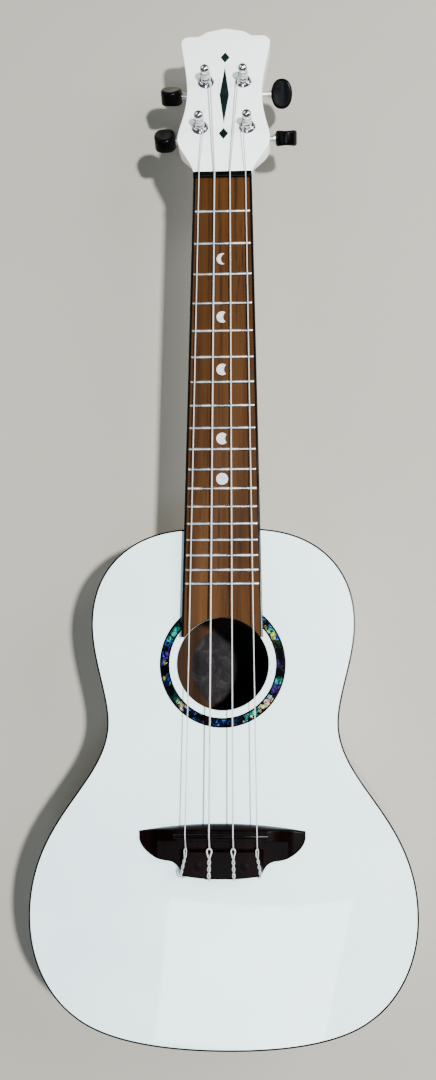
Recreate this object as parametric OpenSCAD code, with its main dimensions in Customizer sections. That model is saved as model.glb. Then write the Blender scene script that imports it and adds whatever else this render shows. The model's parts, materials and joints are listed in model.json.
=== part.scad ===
// Concert ukulele lying on its back.
// Origin: middle of the overall box, on the surface it lies on. +Y points to the head, +Z up.

/* [Scale and neck] */
// Speaking length of the strings, nut to saddle
scale_len = 381; // [376:1:386]
// Number of frets
fret_count = 18; // [15:1:18]
// Width of the board at the nut, with its binding
nut_w = 35.5; // [34:0.5:37]
// Width of the board at its far end, with its binding
board_end_w = 47.2; // [45:0.2:48]
// Length of the board from the nut to its horns
board_len = 277; // [276:1:279]
// Thickness of the board
board_t = 5; // [4:0.5:6]
// Width of the binding strip along each edge of the board
board_binding_w = 1.4; // [1:0.1:2]
// Depth of the neck under the board at the nut
neck_t = 14; // [13:0.5:15]
// Height of a fret above the board
fret_h = 1; // [0.8:0.1:1.2]

/* [Body] */
// Length of the sound box
body_len = 293; // [290:1:296]
// Depth of the sound box, over both plates
body_depth = 68; // [62:1:76]
// Width of the upper bout
upper_w = 153.8; // [150:0.2:158]
// Width of the waist
waist_w = 133.6; // [130:0.2:136]
// Width of the lower bout
lower_w = 220.6; // [214:0.2:226]
// Thickness of the top and of the back
plate_t = 2.2; // [1.8:0.1:2.6]
// Thickness of the bent sides
side_t = 1.8; // [1.5:0.1:2.2]
// Width of the binding around each plate
binding_w = 1; // [0.8:0.1:1.6]
// Diameter of the soundhole
hole_d = 53.5; // [50:0.5:55]
// Distance from the nut to the middle of the soundhole
hole_from_nut = 292.5; // [291:0.5:294]

/* [Bridge] */
// Width of the bridge over its tips
bridge_w = 94.6; // [90:0.2:98]
// Length of the bridge along the strings
bridge_len = 29.2; // [28:0.2:31]
// Height of the saddle and tie block above the top
bridge_h = 8.5; // [8:0.5:9.5]
// Height of the saddle's crest above the top
saddle_h = 11; // [10.5:0.1:12]
// String spacing at the saddle
saddle_pitch = 13.4; // [12.8:0.1:13.6]
// String spacing at the nut
nut_pitch = 9.4; // [9:0.1:9.6]

/* [Head] */
// Length of the head along its face
head_len = 113.4; // [110:0.2:115]
// Thickness of the head
head_t = 10.5; // [10:0.5:11.5]
// Angle at which the head leans back
head_tilt = 13.1; // [11:0.1:15]

/* [Tuners] */
// Length of a knob along its shaft
knob_len = 13.6; // [12:0.2:14]
// Broad width of a knob
knob_w = 17.6; // [16:0.2:19]
// Thickness of a knob
knob_t = 9.4; // [8:0.2:9.8]

/* [Hidden] */
$fn = 48;
over = 0.01;

// Places along the instrument
head_start = 6;
nut_len = 3.4;
overall = scale_len + 125.8 + head_start + head_len * cos(head_tilt);
tail_y = -overall / 2;
nut_y = tail_y + scale_len + 125.8;
body_top_y = tail_y + body_len;
hole_y = nut_y - hole_from_nut;
saddle_y = nut_y - scale_len - 7;
bridge_front_y = saddle_y + 5.3;
board_end_y = nut_y - board_len;
head_z = body_depth + 3.5;
top_under = body_depth - plate_t;
board_top = body_depth + board_t;

// Lining, block and brace sizes
lining_w = 4.6;
lining_h = 7;
neck_block_w = 52;
neck_block_l = 22;
tail_block_w = 46;
tail_block_l = 13;
tenon_w = 16;
tenon_l = 14;
tenon_z = [18, body_depth - 6];
bridge_plate_t = 2;

// Rosette radii
rosette_in = 31.6;
rosette_out = 35.9;
rosette_line = 0.7;
inlay_t = 0.8;

// Bridge stations, measured back from its front edge
ramp_front = 8.7;
tie_front = 13.8;
tie_half = 22.5;
string_hole_z = body_depth + 4.6;
wing_t = 4;

// String radii, named as the strings are tuned
string_r = [0.31, 0.44, 0.38, 0.31];
slot_z = board_top + fret_h + 0.5;

// Tuner posts on the head: across, along
post_at = [[-14.6, 32.2], [-11.8, 68.5], [11.8, 68.5], [14.6, 32.2]];
knob_turn = [0, -12, 46, 136];
post_r = 3;
post_waist_r = 2.4;
winding_w = 4.6;
bushing_r = 4;
gear_teeth = 14;
gear_mod = 0.65;
worm_dist = 7;
worm_drop = 17.3;
worm_r = worm_dist - gear_mod * gear_teeth / 2;
worm_pitch = PI * gear_mod;
worm_len = 6.6;
gear_face = 2.4;
backlash = 0.16;
shaft_r = 1.5;
fit = 0.05;
ear_t = 1.6;
tuner_plate_t = 1;
knob_start = 17.4;
plate_w = -head_t;

// ---- Curves ----

function bez(a, b, c, d, n) = [for (k = [0 : n - 1]) let (t = k / n)
    a * pow(1 - t, 3) + 3 * b * t * pow(1 - t, 2) + 3 * c * t * t * (1 - t) + d * pow(t, 3)];

function mirrored(half) = concat(half, [for (k = [len(half) - 1 : -1 : 0])
    if (half[k][0] > over) [-half[k][0], half[k][1]]]);

// Right half of the body, from the neck landing round to the tail
function body_half() = let (
    u = [upper_w / 2, body_len - 54.8], w = [waist_w / 2, 180.3], l = [lower_w / 2, 74],
    s = [44.8, body_len - 4.9], b = [l[0] - 27.4, 17.1])
    concat(
        [[0, body_len]],
        bez([22.7, body_len], [32.1, body_len - 0.8], s - [6.4, -2.5], s, 6),
        bez(s, s + [15.6, -6.4], u + [0, 28.7], u, 10),
        bez(u, u - [0, 20.5], w + [0, 16], w, 12),
        bez(w, w - [0, 34.3], l + [0, 53.8], l, 16),
        bez(l, l - [0, 28.3], b + [13.7, 9.3], b, 10),
        bez(b, b - [14.6, 10.9], [40.5, 0], [0, 0], 12),
        [[0, 0]]);

// Right half of the head, from the nut to the crest
function head_half() = let (c = head_len) concat(
    [[0, -3]],
    bez([nut_w / 2 + 0.2, -3], [18.6, 6], [28.7, 16.5], [28.7, 24], 10),
    bez([28.7, 24], [28.7, 33], [23.7, 42], [23.7, 60], 10),
    bez([23.7, 60], [23.7, 73], [26.9, 88], [28.6, c - 13.2], 10),
    bez([28.6, c - 13.2], [29.1, c - 9.7], [27.6, c - 7], [23.4, c - 6.5], 7),
    bez([23.4, c - 6.5], [21, c - 6.4], [18.6, c - 6.9], [16.5, c - 6], 5),
    bez([16.5, c - 6], [14.7, c - 5.2], [13.2, c - 3], [11.4, c - 2.6], 5),
    bez([11.4, c - 2.6], [8, c - 1.7], [3.5, c - 0.6], [0, c], 6),
    [[0, c]]);

// Right half of the bridge, from the front edge round to the rear
function bridge_half() = let (t = bridge_w / 2, e = bridge_len) concat(
    bez([0, 0], [22, 0], [t - 12, -2.2], [t, -4], 8),
    bez([t, -7], [t, -13], [t - 7.5, -19.6], [t - 16.3, -20.2], 8),
    bez([t - 16.3, -20.2], [t - 22, -20.8], [24.2, -24], [22.6, 2 - e], 7),
    bez([20.8, 1.5 - e], [13, 0.5 - e], [10, -e], [0, -e], 6),
    [[0, -e]]);

module body_shape(inset = 0) {
    translate([0, tail_y])
        offset(delta = -inset)
            polygon(mirrored(body_half()));
}

// A solid with a closed ring of points at each station
module skin(rings) {
    n = len(rings[0]);
    last = (len(rings) - 1) * n;
    polyhedron(
        points = [for (ring = rings) each ring],
        faces = concat(
            [[for (i = [0 : n - 1]) i]],
            [for (k = [0 : len(rings) - 2], i = [0 : n - 1]) let (j = (i + 1) % n)
                [k * n + i, (k + 1) * n + i, (k + 1) * n + j, k * n + j]],
            [[for (i = [n - 1 : -1 : 0]) last + i]]));
}

function unit(v) = v / norm(v);

// Rings of a round cord that follows a path
function cord_rings(path, r, sides = 8) = [for (k = [0 : len(path) - 1]) let (
    t = unit(path[min(k + 1, len(path) - 1)] - path[max(k - 1, 0)]),
    side = unit(cross(t, [1, 0, 0])),
    up = cross(t, side))
    [for (i = [0 : sides - 1]) let (a = 360 * i / sides)
        path[k] + r * (side * cos(a) + up * sin(a))]];

// ---- Sound box ----

module top() {
    color("whitesmoke")
        difference() {
            translate([0, 0, top_under])
                linear_extrude(plate_t)
                    body_shape(binding_w);
            translate([0, hole_y, 0])
                cylinder(h = body_depth + 1, d = hole_d, $fn = 96);
            inlay_ring(rosette_in - rosette_line, rosette_out + rosette_line, inlay_t + over);
            bridge_bolt_holes();
        }
}

module back() {
    color("white")
        linear_extrude(plate_t)
            body_shape(binding_w);
}

// One bent side; hand is -1 for the bass side and 1 for the treble side
module side(hand) {
    color("white")
        difference() {
            translate([0, 0, plate_t])
                linear_extrude(body_depth - 2 * plate_t)
                    intersection() {
                        difference() {
                            body_shape();
                            body_shape(side_t);
                        }
                        translate([hand > 0 ? 0 : -lower_w, tail_y - 1])
                            square([lower_w, body_len + 2]);
                    }
            tenon_box();
        }
}

// A ring of lining just inside the sides, open at the blocks
module lining_ring() {
    linear_extrude(lining_h)
        difference() {
            body_shape(side_t);
            body_shape(side_t + lining_w);
            block_footprints();
        }
}

module linings() {
    color("burlywood") {
        translate([0, 0, plate_t])
            lining_ring();
        translate([0, 0, top_under - lining_h])
            lining_ring();
    }
}

module block_footprints() {
    translate([-neck_block_w / 2, body_top_y - neck_block_l])
        square([neck_block_w, neck_block_l]);
    translate([-tail_block_w / 2, tail_y])
        square([tail_block_w, tail_block_l]);
}

module block(at_neck) {
    translate([0, 0, plate_t])
        linear_extrude(body_depth - 2 * plate_t)
            intersection() {
                body_shape(side_t);
                block_footprints();
                translate([-lower_w / 2, at_neck ? tail_y + body_len / 2 : tail_y])
                    square([lower_w, body_len / 2]);
            }
}

module tenon_box() {
    translate([-tenon_w / 2, body_top_y - tenon_l, tenon_z[0]])
        cube([tenon_w, tenon_l + 1, tenon_z[1] - tenon_z[0]]);
}

module neck_block() {
    color("sienna")
        difference() {
            block(true);
            tenon_box();
        }
}

module tail_block() {
    color("sienna")
        block(false);
}

// A brace glued across a plate between the linings, with its free face at height z
module cross_brace(y, z, wide, high) {
    translate([0, 0, z])
        linear_extrude(high)
            intersection() {
                body_shape(side_t + lining_w);
                translate([-lower_w / 2, y - wide / 2])
                    square([lower_w, wide]);
            }
}

module top_braces() {
    color("burlywood")
        for (y = [hole_y + 39.5, hole_y - 43])
            cross_brace(y, top_under - 9, 6, 9);
}

module fan_braces() {
    color("burlywood")
        difference() {
            for (k = [-1 : 1])
                translate([k * 24, hole_y - 49, top_under - 6])
                    rotate([0, 0, k * 10])
                        translate([-2.5, -128, 0])
                            cube([5, 128, 6]);
            bridge_plate_block();
        }
}

module bridge_plate_block() {
    translate([-44, bridge_front_y - bridge_len - 2, top_under - bridge_plate_t])
        cube([88, bridge_len + 4, bridge_plate_t]);
}

module bridge_plate() {
    color("peru")
        difference() {
            bridge_plate_block();
            bridge_bolt_holes();
        }
}

module back_braces() {
    color("burlywood")
        for (y = [hole_y + 38, hole_y - 48, hole_y - 138])
            cross_brace(y, plate_t, 7, 8);
}

module soundhole_ring() {
    color("burlywood")
        translate([0, hole_y, top_under - 1.6])
            difference() {
                cylinder(h = 1.6, r = rosette_out, $fn = 96);
                translate([0, 0, -1])
                    cylinder(h = 4, d = hole_d, $fn = 96);
            }
}

// A flat ring let into the face of the top around the soundhole
module inlay_ring(inner, outer, high = inlay_t) {
    translate([0, hole_y, body_depth - inlay_t])
        difference() {
            cylinder(h = high, r = outer, $fn = 96);
            translate([0, 0, -1])
                cylinder(h = 3, r = inner, $fn = 96);
        }
}

module rosette() {
    color("teal")
        inlay_ring(rosette_in, rosette_out);
}

module rosette_lines() {
    color("black") {
        inlay_ring(rosette_in - rosette_line, rosette_in);
        inlay_ring(rosette_out, rosette_out + rosette_line);
    }
}

module edge_binding(z) {
    color("black")
        translate([0, 0, z])
            linear_extrude(plate_t)
                difference() {
                    body_shape();
                    body_shape(binding_w);
                }
}

module binding_top() {
    edge_binding(top_under);
}

module binding_back() {
    edge_binding(0);
}

module label() {
    color("dimgray")
        translate([2, hole_y - 3, plate_t])
            cylinder(h = 0.3, d = 54, $fn = 96);
}

// ---- Neck and head ----

function board_half(y) = nut_w / 2 + (board_end_w - nut_w) / 2 * (nut_y - y) / board_len;

// Depth of the neck under the board, with the heel sweeping down to the back
heel_run = 46;
function neck_depth(y) = let (h = max(0, 1 - (y - body_top_y) / heel_run))
    neck_t + 2 * (nut_y - y) / 220 + (body_depth - neck_t - 4) * pow(h, 2.6);

function neck_ring(y) = let (
    h = max(0, 1 - (y - body_top_y) / heel_run), d = neck_depth(y), w = board_half(min(y, nut_y)))
    [for (k = [18 : -1 : 0]) let (a = 10 * k)
        [w * sign(cos(a)) * pow(abs(cos(a)), 0.85 + 0.6 * h), y,
         body_depth - d * pow(abs(sin(a)), 0.85)]];

module neck() {
    heel_steps = 12;
    stations = concat([nut_y + nut_len, nut_y, nut_y - 60, nut_y - 120],
        [for (k = [0 : heel_steps]) body_top_y + heel_run * (1 - k / heel_steps)]);
    color("white")
        union() {
            skin([for (y = stations) neck_ring(y)]);
            tenon_box();
        }
}

// The head's own frame: across, along the face, and out of the face
module on_head(p) {
    translate([0, nut_y + head_start, head_z])
        rotate([-head_tilt, 0, 0])
            translate(p)
                children();
}

module beyond_nut() {
    translate([-60, nut_y + nut_len, -60])
        cube([120, 160, 200]);
}

module headstock() {
    color("white")
        difference() {
            union() {
                intersection() {
                    on_head([0, 0, -head_t])
                        linear_extrude(head_t)
                            polygon(mirrored(head_half()));
                    beyond_nut();
                }
                neck_ramp();
            }
            for (at = post_at)
                on_head([at[0], at[1], -head_t - 1])
                    cylinder(h = head_t + 2, r = bushing_r, $fn = 48);
            head_inlay_blocks(1);
        }
}

// Ramp that carries the back of the neck into the back of the head
module neck_ramp() {
    hull() {
        translate([0, nut_y + nut_len, 0])
            rotate([90, 0, 0])
                mirror([0, 0, 1])
                    linear_extrude(0.2)
                        polygon([for (q = neck_ring(nut_y)) [q[0], min(q[2], head_z - 1)]]);
        on_head([0, 0, -head_t])
            translate([-12, 17, 0])
                cube([24, 0.5, 1]);
    }
}

// A plain ornament: one long lozenge between two pairs of small diamonds
module head_inlay_blocks(rise) {
    shapes = [[58, 46, 6], [88.5, 9, 6], [27.5, 9, 6]];
    for (q = shapes)
        on_head([0, q[0], -inlay_t])
            linear_extrude(inlay_t + rise)
                polygon([[-q[2] / 2, 0], [0, -q[1] / 2], [q[2] / 2, 0], [0, q[1] / 2]]);
}

module head_inlay() {
    color("darkslategray")
        head_inlay_blocks(0);
}

// ---- Fingerboard ----

function fret_y(n) = nut_y - scale_len * (1 - pow(2, -n / 12));

module board_outline(inset) {
    polygon([
        [-nut_w / 2 + inset, nut_y], [nut_w / 2 - inset, nut_y],
        [board_end_w / 2 - inset, board_end_y], [-board_end_w / 2 + inset, board_end_y]]);
}

module board_scallop() {
    translate([0, hole_y, body_depth - 1])
        cylinder(h = board_t + 3, r = hole_d / 2 + 0.35, $fn = 96);
}

module fingerboard() {
    color("saddlebrown")
        difference() {
            translate([0, 0, body_depth])
                linear_extrude(board_t)
                    board_outline(board_binding_w);
            board_scallop();
            for (n = [1 : fret_count])
                fret_tang(n);
            marker_set(1);
        }
}

module fingerboard_binding() {
    color("black")
        difference() {
            translate([0, 0, body_depth])
                linear_extrude(board_t)
                    difference() {
                        board_outline(0);
                        intersection() {
                            board_outline(board_binding_w);
                            translate([-board_end_w, board_end_y - 1])
                                square([2 * board_end_w, board_len + 2]);
                        }
                    }
            board_scallop();
        }
}

module fret_tang(n) {
    half = board_half(fret_y(n)) - board_binding_w - 0.1;
    translate([-half, fret_y(n) - 0.3, board_top - 2])
        cube([2 * half, 0.6, 2 + over]);
}

module fret(n) {
    half = board_half(fret_y(n)) - board_binding_w - 0.1;
    translate([-half, fret_y(n) - 0.3, board_top - 2])
        cube([2 * half, 0.6, 2.2]);
    translate([0, fret_y(n), board_top])
        rotate([0, 90, 0])
            intersection() {
                translate([0, 0, -half])
                    cylinder(h = 2 * half, r = fret_h, $fn = 32);
                translate([-fret_h - 1, -2, -half])
                    cube([fret_h + 1, 4, 2 * half]);
            }
}

module frets() {
    color("silver")
        for (n = [1 : fret_count])
            fret(n);
}

// Phases of a round marker: shade is how far the biting disc is moved aside
module marker(n, shade) {
    marker_r = 3.45;
    translate([0, (fret_y(n) + fret_y(n - 1)) / 2])
        difference() {
            circle(r = marker_r, $fn = 48);
            translate([shade, 0])
                circle(r = marker_r, $fn = 48);
        }
}

module marker_set(rise) {
    phases = [[3, 2.5], [5, 3.9], [7, 4.4], [10, 5.1], [12, 7]];
    translate([0, 0, board_top - 1])
        linear_extrude(1 + rise)
            for (q = phases)
                marker(q[0], q[1]);
}

module fret_markers() {
    color("lavender")
        marker_set(0);
}

module nut() {
    color("black")
        difference() {
            translate([-nut_w / 2, nut_y, body_depth])
                cube([nut_w, nut_len, slot_z + 0.5 - body_depth]);
            for (k = [0 : 3])
                translate([nut_x(k), nut_y - 1, slot_z + string_r[k]])
                    rotate([-90, 0, 0])
                        cylinder(h = nut_len + 2, r = string_r[k] + 0.05, $fn = 24);
            for (k = [0 : 3])
                translate([nut_x(k) - string_r[k] - 0.05, nut_y - 1, slot_z + string_r[k]])
                    cube([2 * string_r[k] + 0.1, nut_len + 2, 2]);
        }
}

// ---- Bridge ----

function nut_x(k) = (k - 1.5) * nut_pitch;
function saddle_x(k) = (k - 1.5) * saddle_pitch;

module at_bridge(p) {
    translate([p[0], bridge_front_y - p[1], body_depth + p[2]])
        children();
}

module bridge_bolt_holes() {
    for (x = [-13.1, 13.1])
        translate([x, bridge_front_y - 21.8, top_under - 5])
            cylinder(h = 30, r = 1.5, $fn = 32);
}

module bridge() {
    color([0.2, 0.08, 0.06])
        difference() {
            translate([0, bridge_front_y, body_depth])
                linear_extrude(bridge_h)
                    polygon(mirrored(bridge_half()));
            // wings, lower than the middle
            for (m = [0, 1])
                mirror([m, 0, 0])
                    at_bridge([31, -1, wing_t])
                        cube([30, bridge_len + 2, bridge_h]);
            // ramp between the saddle and the tie block
            at_bridge([-60, tie_front, wing_t])
                cube([120, tie_front - ramp_front, bridge_h]);
            // shoulders beside the tie block
            for (m = [0, 1])
                mirror([m, 0, 0])
                    at_bridge([tie_half + 1, bridge_len + 1, wing_t])
                        cube([40, bridge_len - tie_front + 1.5, bridge_h]);
            saddle_slot();
            for (k = [0 : 3])
                translate([saddle_x(k), bridge_front_y - bridge_len - 1, string_hole_z])
                    rotate([-90, 0, 0])
                        cylinder(h = bridge_len - tie_front + 1.5, r = 0.9, $fn = 24);
            bridge_bolt_holes();
            for (x = [-13.1, 13.1])
                at_bridge([x, 21.8, bridge_h - 3.5])
                    cylinder(h = 5, r = 2.4, $fn = 32);
        }
}

module saddle_slot() {
    translate([-27, saddle_y - 1.2, body_depth + wing_t])
        cube([54, 2.4, bridge_h]);
}

module saddle() {
    color("black")
        union() {
            translate([-27, saddle_y - 1.2, body_depth + wing_t])
                cube([54, 2.4, saddle_h - 1.2 - wing_t]);
            translate([-27, saddle_y, body_depth + saddle_h - 1.2])
                rotate([0, 90, 0])
                    cylinder(h = 54, r = 1.2, $fn = 32);
        }
}

// Bolts that back up the glue, each under a wooden plug
module bridge_screws() {
    color([0.08, 0.05, 0.04])
        for (x = [-13.1, 13.1]) {
            at_bridge([x, 21.8, bridge_h - 1.2])
                cylinder(h = 1.2, r = 2.4, $fn = 32);
            at_bridge([x, 21.8, bridge_h - 3.5])
                cylinder(h = 1.8, r = 2.3, $fn = 32);
            translate([x, bridge_front_y - 21.8, top_under - 4.6])
                cylinder(h = plate_t + bridge_h - 3.5 + 4.7, r = 1.45, $fn = 32);
            translate([x, bridge_front_y - 21.8, top_under - bridge_plate_t - 2.2])
                cylinder(h = 2.2, r = 3, $fn = 6);
        }
}

// ---- Strings ----

// Where a string meets its post: across, along and out of the head
function post_touch(k) = let (at = post_at[k], r = post_waist_r + string_r[k])
    [at[0] - sign(at[0]) * r, at[1], winding_w + string_r[k]];

// A place given in the head's own frame
function head_point(p) = [p[0],
    nut_y + head_start + p[1] * cos(head_tilt) + p[2] * sin(head_tilt),
    head_z - p[1] * sin(head_tilt) + p[2] * cos(head_tilt)];

function string_path(k) = let (
    r = string_r[k], lift = 0.06, x = saddle_x(k),
    touch = head_point(post_touch(k)),
    rear_nut = [nut_x(k), nut_y + nut_len + 0.3, slot_z + r + lift],
    crest = body_depth + saddle_h + r + lift,
    hole_in = bridge_front_y - tie_front + 0.6,
    rear = bridge_front_y - bridge_len - r - 0.25,
    over_top = body_depth + bridge_h + r + lift,
    twist = r + 0.35)
    [touch + unit(rear_nut - touch) * 2.2,
     rear_nut,
     [nut_x(k), nut_y, slot_z + r + lift],
     [x, saddle_y + 0.5, crest],
     [x, saddle_y - 0.5, crest - 0.02],
     [x, saddle_y - 3.26, body_depth + bridge_h + r + 0.35],
     [x, hole_in + 1, string_hole_z + 1],
     [x, hole_in - 1.5, string_hole_z],
     [x, rear + 0.3, string_hole_z],
     [x, rear, string_hole_z + 0.3],
     [x, rear, over_top - 0.4],
     [x, rear + 0.4, over_top],
     [x - twist, hole_in - 4, over_top + 0.1],
     [x - twist, hole_in + 1.2, over_top + 0.2]];

module string(k) {
    color("aliceblue")
        skin(cord_rings(string_path(k), string_r[k]));
}

// ---- Tuners ----

// A tuner's frame: origin on the head's face at the post, +X out to the knob, +Y to the crest
module at_tuner(k) {
    on_head([post_at[k][0], post_at[k][1], 0])
        mirror([post_at[k][0] < 0 ? 1 : 0, 0, 0])
            children();
}

module tuner_plate() {
    ear_x = worm_len / 2 + 0.1;
    difference() {
        union() {
            translate([0, 0, plate_w - tuner_plate_t])
                linear_extrude(tuner_plate_t)
                    union() {
                        translate([-6, -6])
                            square([12, 17]);
                        for (y = [-8.5, 13])
                            translate([0, y])
                                circle(r = 3.4, $fn = 32);
                        translate([-3.4, -8.5])
                            square([6.8, 21.5]);
                    }
            for (x = [-ear_x - ear_t, ear_x])
                translate([x, worm_dist - 3, -worm_drop - 3])
                    cube([ear_t, 6, worm_drop + 3 + plate_w - tuner_plate_t + over]);
        }
        translate([0, 0, -head_t - 3])
            cylinder(h = 5, r = post_r + fit, $fn = 48);
        translate([-10, worm_dist, -worm_drop])
            rotate([0, 90, 0])
                cylinder(h = 20, r = shaft_r + fit, $fn = 32);
        for (y = [-8.5, 13])
            translate([0, y, -head_t - 3])
                cylinder(h = 5, r = 1.1, $fn = 24);
    }
}

module tuner_plates() {
    color("silver")
        for (k = [0 : 3])
            at_tuner(k)
                tuner_plate();
}

module plate_screws() {
    color("gainsboro")
        for (k = [0 : 3], y = [-8.5, 13])
            at_tuner(k)
                translate([0, y, plate_w - tuner_plate_t])
                    mirror([0, 0, 1]) {
                        difference() {
                            intersection() {
                                cylinder(h = 1.2, r = 2, $fn = 32);
                                translate([0, 0, -1.6])
                                    sphere(r = 2.8, $fn = 32);
                            }
                            for (a = [0, 90])
                                rotate([0, 0, a])
                                    translate([-1.3, -0.25, 0.6])
                                        cube([2.6, 0.5, 1]);
                        }
                        translate([0, 0, -tuner_plate_t])
                            cylinder(h = tuner_plate_t, r = 1.1, $fn = 24);
                    }
}

module post_bushings() {
    color("gainsboro")
        for (k = [0 : 3])
            at_tuner(k)
                rotate_extrude($fn = 64)
                    difference() {
                        union() {
                            translate([0, -7])
                                square([bushing_r, 7]);
                            square([5.3, 0.8]);
                            intersection() {
                                translate([0, -7.8])
                                    circle(r = 10, $fn = 96);
                                square([5, 1.9]);
                            }
                        }
                        translate([-1, -8])
                            square([1 + post_r + fit, 12]);
                        translate([-20, -30])
                            square([20, 60]);
                    }
}

// Washer between the knob's collar and the bearing ear's shaft
module tuner_washers() {
    color("whitesmoke")
        for (k = [0 : 3])
            at_tuner(k)
                translate([worm_len / 2 + 0.1 + ear_t, worm_dist, -worm_drop])
                    rotate([0, 90, 0])
                        difference() {
                            cylinder(h = 0.6, r = 2.9, $fn = 32);
                            translate([0, 0, -1])
                                cylinder(h = 3, r = shaft_r + fit, $fn = 32);
                        }
}

module post(k) {
    color("silver")
        at_tuner(k)
            difference() {
                rotate_extrude($fn = 64)
                    polygon(concat(
                        [[0, -worm_drop - gear_face / 2], [2, -worm_drop - gear_face / 2],
                         [2, -worm_drop + gear_face / 2], [post_r, -worm_drop + gear_face / 2],
                         [post_r, 3], [post_waist_r, winding_w - 0.6], [post_waist_r, 8]],
                        [for (a = [-30 : 15 : 75]) [3 * cos(a), 9.8 + 3 * sin(a)]],
                        [[0, 12.8]]));
                translate([-5, 0, 7.3])
                    rotate([0, 90, 0])
                        cylinder(h = 10, r = 0.6, $fn = 24);
                translate([0, 0, -worm_drop - gear_face / 2 - 1])
                    cylinder(h = 6, r = 1.2, $fn = 24);
            }
}

// One tooth space to the next is one worm pitch along the pitch circle
module gear_outline() {
    r_pitch = gear_mod * gear_teeth / 2;
    r_tip = r_pitch + 0.85 * gear_mod;
    r_root = r_pitch - 1.2 * gear_mod;
    half = (worm_pitch / 2 - backlash) / 2;
    function flank(r) = (half + (r_pitch - r) * tan(20)) / r * 180 / PI;
    polygon([for (n = [0 : gear_teeth - 1]) let (a = (n + 0.5) * 360 / gear_teeth + 90)
        each [for (q = [[r_root, -1], [r_pitch, -1], [r_tip, -1], [r_tip, 1], [r_pitch, 1],
                        [r_root, 1]])
            let (b = a + q[1] * flank(q[0])) q[0] * [cos(b), sin(b)]]]);
}

module gear(k) {
    lead_angle = atan(worm_pitch / (2 * PI * worm_r));
    turn = gear_face * tan(lead_angle) / (gear_mod * gear_teeth / 2) * 180 / PI;
    color("darkgoldenrod")
        at_tuner(k)
            translate([0, 0, -worm_drop - gear_face / 2])
                difference() {
                    rotate([0, 0, -turn / 2])
                        linear_extrude(gear_face, twist = -turn, slices = 3)
                            gear_outline();
                    translate([0, 0, -1])
                        cylinder(h = gear_face + 2, r = 2, $fn = 32);
                }
}

module gear_screw(k) {
    color("gainsboro")
        at_tuner(k)
            translate([0, 0, -worm_drop - gear_face / 2])
                mirror([0, 0, 1])
                    union() {
                        difference() {
                            cylinder(h = 1.4, r = 2.6, $fn = 32);
                            translate([-1.6, -0.3, 0.7])
                                cube([3.2, 0.6, 1]);
                            translate([-0.3, -1.6, 0.7])
                                cube([0.6, 3.2, 1]);
                        }
                        translate([0, 0, -4.5])
                            cylinder(h = 4.6, r = 1.2, $fn = 24);
                    }
}

// Single right-hand thread along +X, wound about the worm's axis
function thread_ring(a) = let (
    x = worm_pitch * a / 360,
    tip = worm_r + gear_mod, root = worm_r - 1.2 * gear_mod, foot = root - 0.15,
    half = (worm_pitch / 2 - backlash) / 2,
    wide = half + (worm_r - foot) * tan(20), narrow = half - gear_mod * tan(20))
    [for (q = [[foot, -wide], [foot, wide], [tip, narrow], [tip, -narrow]])
        [x + q[1], -q[0] * cos(a), -q[0] * sin(a)]];

module worm(k) {
    root = worm_r - 1.2 * gear_mod;
    turns = 2.1;
    color("silver")
        at_tuner(k)
            translate([0, worm_dist, -worm_drop])
                union() {
                    skin([for (a = [-360 * turns / 2 : 18 : 360 * turns / 2]) thread_ring(a)]);
                    translate([-worm_len / 2, 0, 0])
                        rotate([0, 90, 0])
                            cylinder(h = worm_len, r = root, $fn = 48);
                    translate([-worm_len / 2 - ear_t - 0.8, 0, 0])
                        rotate([0, 90, 0])
                            cylinder(h = knob_start + worm_len / 2 + ear_t + 0.8 + 8,
                                r = shaft_r, $fn = 32);
                    translate([knob_start - 2.4, 0, 0])
                        rotate([0, 90, 0])
                            cylinder(h = 1, r = 2.3, $fn = 32);
                    translate([knob_start - 1.2, 0, 0])
                        rotate([0, 90, 0])
                            cylinder(h = 1.2, r = 2.8, $fn = 32);
                }
}

// Oval knob with hollowed edges, bored for its shaft
module knob(k) {
    half_w = knob_w / 2;
    half_l = knob_len / 2;
    color("black")
        at_tuner(k)
            translate([knob_start, worm_dist, -worm_drop])
                rotate([knob_turn[k], 0, 0])
                    difference() {
                        intersection() {
                            translate([half_l, 0, -knob_t / 2])
                                linear_extrude(knob_t)
                                    polygon([for (a = [0 : 10 : 350])
                                        [half_l * sign(cos(a)) * pow(abs(cos(a)), 0.8),
                                         half_w * sin(a)]]);
                            rotate([0, 90, 0])
                                linear_extrude(knob_len)
                                    polygon([for (a = [0 : 10 : 350])
                                        [knob_t / 2 * sign(cos(a)) * pow(abs(cos(a)), 0.7),
                                         half_w * sin(a)]]);
                        }
                        translate([-1, 0, 0])
                            rotate([0, 90, 0])
                                cylinder(h = 9, r = shaft_r, $fn = 32);
                    }
}

// The turns of string around a post, as one sleeve
module winding(k) {
    color("aliceblue")
        at_tuner(k)
            translate([0, 0, winding_w])
                difference() {
                    cylinder(h = min(8 * string_r[k], 3),
                        r = post_waist_r + 2 * string_r[k], $fn = 48);
                    translate([0, 0, -1])
                        cylinder(h = 6, r = post_waist_r, $fn = 48);
                }
}

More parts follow.
